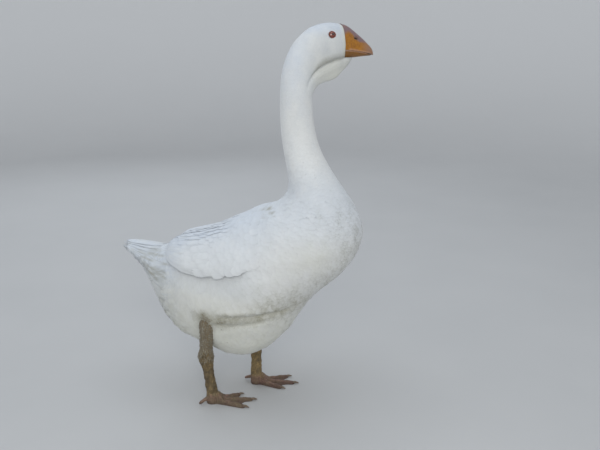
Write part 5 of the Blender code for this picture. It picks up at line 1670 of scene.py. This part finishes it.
def grow_body():
    made = []
    rng = np.random.default_rng(77)
    # head
    a, b, sp = scatter(PLUMAGE, clear_of_face, body_spacing, 1, AT["poll"], AT["bill_base"] - 0.0008)
    length = short_of_eye(a, b, sp * 3.8 * rng.uniform(0.9, 1.15, len(a)))
    depth = coat_depth(a, b)
    f = grow(PLUMAGE, a, b, length, np.minimum(sp * 1.22, length * 0.60), depth, LOOK_HEAD, 2,
             turn=rng.normal(0, 0.08, len(a)), lift=rng.normal(0.00002, 0.00003, len(a)),
             unwrap=unwrap_of(AT["poll"], AT["bill_base"]))
    made.append(coat("coat_head", [f], PLUMAGE_MAT))
    # neck
    a, b, sp = scatter(PLUMAGE, lambda a, b: a > 0, body_spacing, 3, AT["neck_root"] - 0.010, AT["poll"] + 0.004)
    f = grow(PLUMAGE, a, b, sp * 4.1 * rng.uniform(0.92, 1.12, len(a)), sp * 1.28, coat_depth(a, b), LOOK_NECK, 4,
             turn=rng.normal(0, 0.05, len(a)), lift=rng.normal(0.00001, 0.00002, len(a)),
             unwrap=unwrap_of(AT["neck_root"] - 0.010, AT["poll"] + 0.004))
    made.append(coat("coat_neck", [f], PLUMAGE_MAT))
    # trunk
    a, b, sp = scatter(FLANK, off_wing, body_spacing, 5, AT["tail_tip"] + 0.030, AT["neck_root"] - 0.004)
    t, side = side_of(b)
    p = FLANK.at(a, b, 0, 3)
    soft = np.clip(smoothstep(1.9, 2.5, t) * (1 - smoothstep(AT["keel"], AT["crop"], a))
                   + (1 - smoothstep(AT["vent"], AT["loin"], a)) * smoothstep(1.0, 1.6, t), 0, 1)
    rear = (1 - smoothstep(AT["loin"] - 0.02, AT["hip"] + 0.01, a)) * smoothstep(1.25, 1.8, t)
    stand = soft * 0.0006 + 0.0007 * rear \
        + 0.0004 * smoothstep(0.06, 0.16, p[:, 0]) * (1 - smoothstep(0.28, 0.36, p[:, 2]))
    n = len(a)
    length = sp * (3.6 + 0.6 * soft + 2.2 * rear) * rng.uniform(0.88, 1.14, n)
    lift = stand * rng.uniform(0.2, 1.6, n) + rng.normal(0.0, 0.00010, n)
    turn = rng.normal(0, 0.07 + 0.09 * soft, n)
    fringe = (1 - smoothstep(AT["loin"] + 0.010, AT["hip"] + 0.010, a)) * smoothstep(1.45, 1.85, t)
    lift = lift + 0.0019 * fringe * (rng.random(n) < 0.30) * rng.uniform(0.35, 1.0, n)
    args = dict(turn=turn, lift=lift)
    is_soft = soft > 0.5
    q = wing_share(a, b)
    on_shoulder = (a > WING_FRONT - 0.140) & (a < WING_FRONT + 0.050) & (q < 0.93)
    regions = {
        "coat_breast_L": (p[:, 0] > 0.075) & (side > 0),
        "coat_breast_R": (p[:, 0] > 0.075) & (side <= 0),
        "coat_belly": (p[:, 0] <= 0.075) & (t > 2.05),
        "coat_flank_L": (p[:, 0] <= 0.075) & (t <= 2.05) & (side > 0),
        "coat_flank_R": (p[:, 0] <= 0.075) & (t <= 2.05) & (side < 0),
    }
    deep = coat_depth(a, b)
    firm_f = grow(FLANK, a, b, length, sp * 1.32, deep, LOOK_BODY, 6, **args)
    soft_f = grow(FLANK, a, b, length, sp * (1.25 - 0.18 * rear), deep, LOOK_SOFT, 7, **args)
    wing_f = grow(WING, a, b, length * 1.1, sp * 1.32, deep, LOOK_BODY, 6, **args)
    for name, m in regions.items():
        made.append(coat(name, [choose(firm_f, m & ~is_soft & ~on_shoulder), choose(soft_f, m & is_soft),
                                choose(wing_f, m & ~is_soft & on_shoulder)], PLUMAGE_MAT))
    return made


def wing_spacing(a, b):
    s = np.interp(a, [AT["loin"], AT["hip"], AT["belly"], AT["midriff"], AT["keel"], AT["shoulder"], WING_FRONT],
                  [0.0095, 0.0090, 0.0084, 0.0076, 0.0068, 0.0062, 0.0058])
    return s * 1.0


LOOK_COVERT = Look((0.0, 0.26, 0.48, 0.68, 0.84, 0.94, 1.0), (0.46, 0.92, 1.0, 1.02, 0.96, 0.78, 0.46), 9,
                   slope=0.032, camber=0.026, round_tip=0.42, jag=0.025, split=0.0)
LOOK_QUILL = Look(tuple(np.linspace(0, 0.84, 14)) + (0.89, 0.93, 0.965, 0.987, 1.0),
                  (0.30, 0.55, 0.75, 0.88, 0.96, 1.0, 1.0, 1.0, 1.0, 1.0, 1.0, 0.99, 0.97, 0.94,
                   0.88, 0.79, 0.64, 0.45, 0.22), 17,
                  slope=0.008, camber=0.050, round_tip=0.25, jag=0.006, split=0.4, hug=0.14)


def length_along(surf, a, b, end, lie):
    """Length over the surface from each root down the lie to the station end."""
    total, x, y = np.zeros_like(a), a.copy(), b.copy()
    n = 24
    step = (end - a) / n
    for _ in range(n):
        la, lb = lie(x, y)
        g = surf.at(x, y)
        d = (la[:, None] * g[:, 6:9] + lb[:, None] * g[:, 9:12]) * (step / la)[:, None]
        total += np.linalg.norm(d, axis=1)
        x, y = x + step, y + lb * step / la
    return total


def greater_zone(a, b):
    """Where the greater coverts and scapulars root."""
    q = wing_share(a, b)
    edge = np.interp(q, [0.0, 0.3, 0.7, 1.0], [AT["loin"] + 0.006, AT["loin"] + 0.022, AT["hip"] + 0.006,
                                             AT["hip"] + 0.024])
    return (a > edge) & (a < AT["belly"] + 0.034) & (q < 0.925) & (q > -0.10)


def wing_row(side, seed, q, root, end, width, look, over, lean=0.00085, lift=0.0):
    """One row of long feathers on a folded wing, each from root to end at its share q of the wing."""
    top, low = soft_interp(wing_top, root), soft_interp(wing_low, root)
    th = top + (low - top) * q
    b = th if side > 0 else TAU - th
    length = length_along(WING, root, b, end, along_wing)
    return grow(WING, root, b, length, width, np.full(len(q), 0.0042), look, seed, lie=along_wing,
                lift=lift + 0.0003 * (1 - q), lean=-side * np.full(len(q), lean), over=over)


def grow_wings():
    made = []
    rng = np.random.default_rng(99)
    a, b, sp = scatter(WING, on_wing, wing_spacing, 8, WING_TIP, WING_FRONT)
    q = wing_share(a, b)
    t, side = side_of(b)
    # small coverts end where the longer feathers of the wing come out from under them
    limit = np.interp(q, [-0.3, 0.02, 0.12, 0.35, 0.7, 1.0],
                      [AT["rump"] + 0.020, AT["loin"] + 0.010, AT["belly"] - 0.006, AT["belly"] + 0.012,
                       AT["belly"] + 0.004, AT["belly"] - 0.010])
    keep = a > limit + rng.normal(0, 0.010, len(a))
    a, b, sp, q, side = a[keep], b[keep], sp[keep], q[keep], side[keep]
    n = len(a)
    grown = 1 - smoothstep(AT["hip"], AT["keel"], a)
    length = sp * (3.4 + 0.8 * grown) * rng.uniform(0.92, 1.10, n)
    rear = 1 - smoothstep(AT["keel"], AT["shoulder"], a)
    f = grow(WING, a, b, length, sp * 1.24, coat_depth(a, b), LOOK_COVERT, 9, lie=along_wing,
             turn=rng.normal(0, 0.055, n), lift=rng.normal(0.0, 0.00008, n),
             over=0.0010 * rear)
    mid = np.abs(WING.at(a, b, 0, 3)[:, 1]) < 0.020
    made.append(coat("coat_back", [choose(f, mid)], PLUMAGE_MAT))
    made.append(coat("coat_wing_L", [choose(f, ~mid & (side > 0))], PLUMAGE_MAT))
    made.append(coat("coat_wing_R", [choose(f, ~mid & (side < 0))], PLUMAGE_MAT))
    for tag, s in (("L", 1), ("R", -1)):
        rng = np.random.default_rng(100 + s)
        rows = []
        # flight feathers and tertials, their ends round the back of the folded wing
        m = 14
        q = np.linspace(0.905, 0.03, m) + rng.normal(0, 0.006, m)
        root = np.interp(q, [0, 0.3, 1], [AT["hip"] + 0.004, AT["belly"], AT["midriff"] - 0.004])
        end = WING_TIP + np.interp(q, [0.0, 0.18, 0.40, 0.60, 1.0], [-0.009, -0.007, 0.003, 0.011, 0.020]) \
            + rng.normal(0, 0.0020, m) + 0.0050 * (np.arange(m) % 2)
        width = np.interp(q, [0, 0.3, 1.0], [0.0105, 0.0120, 0.0120])
        rows.append(wing_row(s, 20 + s, q, root, end, width, LOOK_QUILL, -0.0006 + 0.0008 * (1 - q)))
        # greater coverts, and scapulars over the tertials
        ga, gb, gs = scatter(WING, lambda a, b: greater_zone(a, b) & (side_of(b)[1] == s),
                             lambda a, b: np.full(np.shape(a), 0.0108), 110 + s, WING_TIP, WING_FRONT)
        gq = wing_share(ga, gb)
        m = len(ga)
        over_back = 1 - smoothstep(0.25, 0.55, gq)
        length = np.interp(ga, [AT["rump"], AT["hip"], AT["belly"] + 0.03], [0.046, 0.058, 0.046]) \
            * rng.uniform(0.88, 1.10, m)
        rows.append(grow(WING, ga, gb, length, np.full(m, 0.0100) - 0.0020 * over_back, coat_depth(ga, gb),
                         LOOK_GREATER, 112 + s, lie=along_wing, turn=rng.normal(0, 0.035, m),
                         lift=rng.normal(0.0001, 0.00022, m) + 0.0002 * over_back,
                         lean=-s * (0.0004 + 0.0004 * over_back), over=0.0005 + 0.0001 * over_back))
        made.append(coat("quills_wing_" + tag, rows, PLUMAGE_MAT))
    return made


LOOK_GREATER = Look(tuple(np.linspace(0, 0.80, 9)) + (0.87, 0.925, 0.965, 0.988, 1.0),
                    (0.40, 0.68, 0.86, 0.96, 1.0, 1.0, 1.0, 1.0, 0.99, 0.96, 0.88, 0.74, 0.55, 0.30), 15,
                    slope=0.016, camber=0.045, round_tip=0.32, jag=0.010, split=0.3, hug=0.2)
LOOK_TAIL = Look(tuple(np.linspace(0, 0.84, 12)) + (0.90, 0.945, 0.98, 1.0),
                 (0.35, 0.60, 0.78, 0.90, 0.97, 1.0, 1.0, 1.0, 0.99, 0.97, 0.93, 0.87, 0.76, 0.60, 0.38, 0.15), 13,
                 slope=0.006, camber=0.070, round_tip=0.22, jag=0.010, split=0.3, hug=0.14)
LOOK_VENT = Look((0.0, 0.22, 0.42, 0.60, 0.76, 0.88, 0.96, 1.0), (0.60, 0.92, 1.0, 1.0, 0.96, 0.84, 0.62, 0.34), 9,
                 slope=0.020, camber=0.040, round_tip=0.30, jag=0.06, split=0.0, hug=0.18)


def grow_tail():
    rng = np.random.default_rng(140)
    sets = []
    for s in (1, -1):
        # the tail feathers: two closed layers through the middle of the tail, and one over them
        for row, (m, t0, t1) in enumerate(((7, 0.10, 1.50), (7, 1.65, 3.05))):
            th = np.linspace(t0, t1, m) + rng.normal(0, 0.03, m)
            root = AT["vent"] - 0.022 + 0.004 * rng.normal(size=m)
            end = AT["tail_tip"] + rng.uniform(-0.001, 0.006, m)
            b = th if s > 0 else TAU - th
            length = length_along(CORE, root, b, end, tailward)
            sets.append(grow(CORE, root, b, length, np.full(m, 0.0086), np.full(m, 0.0014), LOOK_TAIL, 180 + row + s,
                             turn=rng.normal(0, 0.03, m), lift=rng.normal(0.0003, 0.0003, m),
                             lean=-s * np.full(m, 0.0006), over=np.full(m, 0.0004)))
        m = 9
        th = np.linspace(0.06, 1.66, m) + rng.normal(0, 0.02, m)
        root = AT["vent"] - 0.002 + 0.004 * rng.normal(size=m)
        end = AT["tail_tip"] - 0.002 + np.linspace(0.0, 0.006, m) + rng.normal(0, 0.0030, m)
        b = th if s > 0 else TAU - th
        length = length_along(PLUMAGE, root, b, end, tailward)
        f = grow(PLUMAGE, root, b, length, np.full(m, 0.0090), np.full(m, 0.0030), LOOK_TAIL, 150 + s,
                 turn=rng.normal(0, 0.02, m), lift=rng.normal(0.0002, 0.0004, m) - 0.0034 * np.abs(np.cos(th)),
                 lean=-s * np.full(m, 0.0013), over=0.0012 * (1 - np.linspace(0, 1, m)))
        sets.append(f)
        # the long soft coverts under the tail, each row lapping over the next towards its tip
        for row, (m, t0, t1, r, e, w) in enumerate((
                (10, 1.72, 3.08, AT["tail_root"] + 0.016, AT["tail_tip"] + 0.006, 0.0066),
                (16, 1.30, 3.08, AT["vent"] + 0.000, AT["tail_mid"] - 0.010, 0.0064),
                (18, 1.10, 3.08, AT["vent"] + 0.022, AT["tail_mid"] + 0.016, 0.0068),
                (20, 1.00, 3.08, AT["vent"] + 0.042, AT["tail_root"] + 0.004, 0.0072),
                (22, 1.00, 3.08, AT["rump"] + 0.010, AT["vent"] - 0.014, 0.0074))):
            th = np.linspace(t0, t1, m) + rng.normal(0, 0.035, m)
            b = th if s > 0 else TAU - th
            root = r + rng.normal(0, 0.003, m)
            end = e + rng.normal(0, 0.0045, m)
            length = length_along(PLUMAGE, root, b, end, tailward)
            f = grow(PLUMAGE, root, b, length, np.full(m, w), np.full(m, 0.0026), LOOK_TAIL if row == 0 else LOOK_VENT,
                     160 + 7 * row + s, turn=rng.normal(0, 0.04, m),
                     lift=rng.normal(0.0003, 0.00022, m) - (0.0040 if row == 0 else 0.0) * np.abs(np.cos(th)),
                     lean=-s * np.full(m, 0.0004), over=np.full(m, 0.0002 + 0.00042 * row))
            sets.append(f)
    return [coat("quills_tail", sets, PLUMAGE_MAT)]


def thigh_marks(tag):
    def f(p):
        z = p[..., 2]
        m = markings(p)
        rough = wave_noise(p, 0.012, 61, 3)
        hair = wave_noise(p * np.array([1.0, 1.0, 0.22]), 0.0020, 62, 2)
        mud = (1.04 if tag == "R" else 0.84) + 0.14 * rough + 0.22 * hair
        mud = mud * (1 - 0.70 * smoothstep(0.198, 0.222, z))
        m[..., 0] = np.clip(np.maximum(m[..., 0] * (z > 0.19), mud), 0, 1)
        return m
    return f


def grow_thighs():
    made = []
    tree = KDTree(90 * 60)
    for i, v in enumerate(np.linspace(V_LOW, AT["breast"], 90)):
        g = FLANK.at(np.full(60, v), np.arange(60) * TAU / 60, 0, 3)
        for j in range(60):
            tree.insert(g[j].tolist(), i * 60 + j)
    tree.balance()
    vv = np.linspace(V_LOW, AT["breast"], 90)
    for tag, leg in LEGS.items():
        s, pts, _ = leg_grid(leg, 0.0, 260, 96)
        surf = Surface(s, pts, flip=True)
        hock = np.array(leg["hock"])
        end = s[np.argmin(np.linalg.norm(pts.mean(1) - hock, axis=1))] + 0.001
        a, b, sp = scatter(surf, lambda a, b: a > 0, lambda a, b: np.full(a.shape, 0.0024),
                           170, s[0] + 0.02, end)
        thin = np.random.default_rng(169).random(len(a)) < 0.8 * smoothstep(end - 0.013, end, a)
        a, b, sp = a[~thin], b[~thin], sp[~thin]
        p = surf.at(a, b, 0, 3)
        out = np.zeros(len(a), bool)
        for i, q in enumerate(p.tolist()):
            co, k, _ = tree.find(q)
            g = FLANK.at(np.array([vv[k // 60]]), np.array([(k % 60) * TAU / 60]), 0, 6)[0]
            out[i] = np.dot(np.array(q) - g[0:3], g[3:6]) > -0.004
        a, b, sp = a[out], b[out], sp[out]
        rng = np.random.default_rng(171)
        n = len(a)
        low = smoothstep(end - 0.03, end, a)
        length = (0.0135 - 0.0035 * low) * rng.uniform(0.7, 1.3, n)
        f = grow(surf, a, b, length, np.full(n, 0.0019) - 0.0006 * low, np.full(n, 0.0020), LOOK_THIGH, 172,
                 lie=lambda a, b: (np.ones_like(a), np.zeros_like(b)), turn=rng.normal(0, 0.22, n),
                 lift=rng.uniform(-0.0002, 0.0014, n) + 0.0016 * low, unwrap=unwrap_of(s[0], s[-1]))
        made.append(coat("coat_thigh_" + tag, [f], PLUMAGE_MAT, marks=thigh_marks(tag)))
    return made


# ------------------------------------------------------------------ assembly
def ride(ob, nodes=()):
    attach(ob, "root")
    if nodes:
        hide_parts(*nodes)


skin = build_skin()
ride(skin, ("tail", "trunk", "neck", "head", "wing_L", "wing_R", "tibia_L", "tibia_R",
                       "shank_L", "shank_R", "foot_L", "foot_R", "hind_toe_L", "hind_toe_R"))
for piece in grow_body() + grow_wings() + grow_tail() + grow_thighs():
    ride(piece)
ride(fine_bill("bill_top", UPPER_BILL, 1), ("bill_upper",))
ride(fine_bill("bill_bottom", LOWER_BILL, -1), ("bill_lower",))
for tag_, side_ in (("L", 1), ("R", -1)):
    ball_, lid_ = build_eye(tag_, side_)
    ride(ball_, ("eye_" + tag_,))
    ride(lid_)
    for toe_ in ("outer", "middle", "inner"):
        ride(fine_claw(f"nail_{toe_}_{tag_}", LEGS[tag_], toe_), (f"claw_{toe_}_{tag_}",))

# ------------------------------------------------------------------ stage
def floor_material():
    m = Nodes("studio_floor")
    n = m.noise(3.0, 3.0, 0.5)
    near = m.mix(m.ramp(n, 0.3, 0.7), (0.525, 0.528, 0.532), (0.545, 0.547, 0.550))
    m.colour(m.mix(m.attribute("tone").outputs["Fac"], near, (0.860, 0.862, 0.865)))
    m.set(Roughness=0.9, Specular_IOR_Level=0.10)
    return m.mat


def floor_sweep():
    """A round pale floor that turns up softly into a wall all the way round."""
    bend = [(3.0 + 2.2 * math.sin(k), 2.2 - 2.2 * math.cos(k)) for k in np.linspace(0, math.pi / 2, 22)]
    profile = [(0.8, 0.0), (1.4, 0.0), (1.8, 0.0), (2.2, 0.0), (2.6, 0.0)] + bend
    sides = 96
    verts, faces = [(0.0, 0.0, 0.0)], []
    for r, z in profile:
        verts += [(r * math.cos(TAU * j / sides), r * math.sin(TAU * j / sides), z) for j in range(sides)]
    for j in range(sides):
        k = (j + 1) % sides
        faces.append((0, 1 + j, 1 + k))
        for i in range(len(profile) - 1):
            faces.append((1 + i * sides + j, 1 + (i + 1) * sides + j, 1 + (i + 1) * sides + k, 1 + i * sides + k))
    return verts, faces


floor = new_mesh("studio_floor", *floor_sweep(), [floor_material()], shift=False)
far = np.array([math.hypot(v.co.x, v.co.y) + v.co.z for v in floor.data.vertices])
tone = floor.data.color_attributes.new("tone", 'FLOAT_COLOR', 'POINT')
tone.data.foreach_set("color", np.repeat(smoothstep(1.7, 6.0, far), 4).astype(np.float32))


def area(name, place, aim, size, power, colour):
    data = bpy.data.lights.new(name, 'AREA')
    data.shape, data.size, data.energy, data.color = 'SQUARE', size, power, colour
    ob = bpy.data.objects.new(name, data)
    ob.location = place
    ob.rotation_euler = (Vector(aim) - Vector(place)).to_track_quat('-Z', 'Y').to_euler()
    bpy.context.scene.collection.objects.link(ob)


area("light_over", (-0.2, -0.3, 2.7), (0, 0, 0.3), 2.6, 18.5, (0.86, 0.93, 1.0))
area("light_front", (0.95, -2.3, 1.45), (0.05, 0, 0.40), 1.0, 22.0, (1.0, 0.992, 0.955))
area("light_back", (-1.2, 1.8, 1.6), (0, 0, 0.4), 1.6, 10.0, (0.88, 0.94, 1.0))
world = bpy.data.worlds.new("studio")
world.use_nodes = True
world.node_tree.nodes["Background"].inputs["Color"].default_value = (0.745, 0.78, 0.82, 1)
world.node_tree.nodes["Background"].inputs["Strength"].default_value = 0.66
bpy.context.scene.world = world
bpy.context.scene.view_settings.view_transform = 'Standard'

cam = bpy.data.objects.new("camera", bpy.data.cameras.new("camera"))
cam.data.lens, cam.data.sensor_width = 48.0, 36.0
cam.location = (0.5918, -1.4171, 0.7640)
cam.rotation_euler = (math.radians(75.25), 0.0, math.radians(18.0))
bpy.context.scene.collection.objects.link(cam)
bpy.context.scene.camera = cam

bpy.context.view_layer.update()
print("  coat triangles in all:", sum(COUNTS.values()), "  most in one:", max(COUNTS.values()))
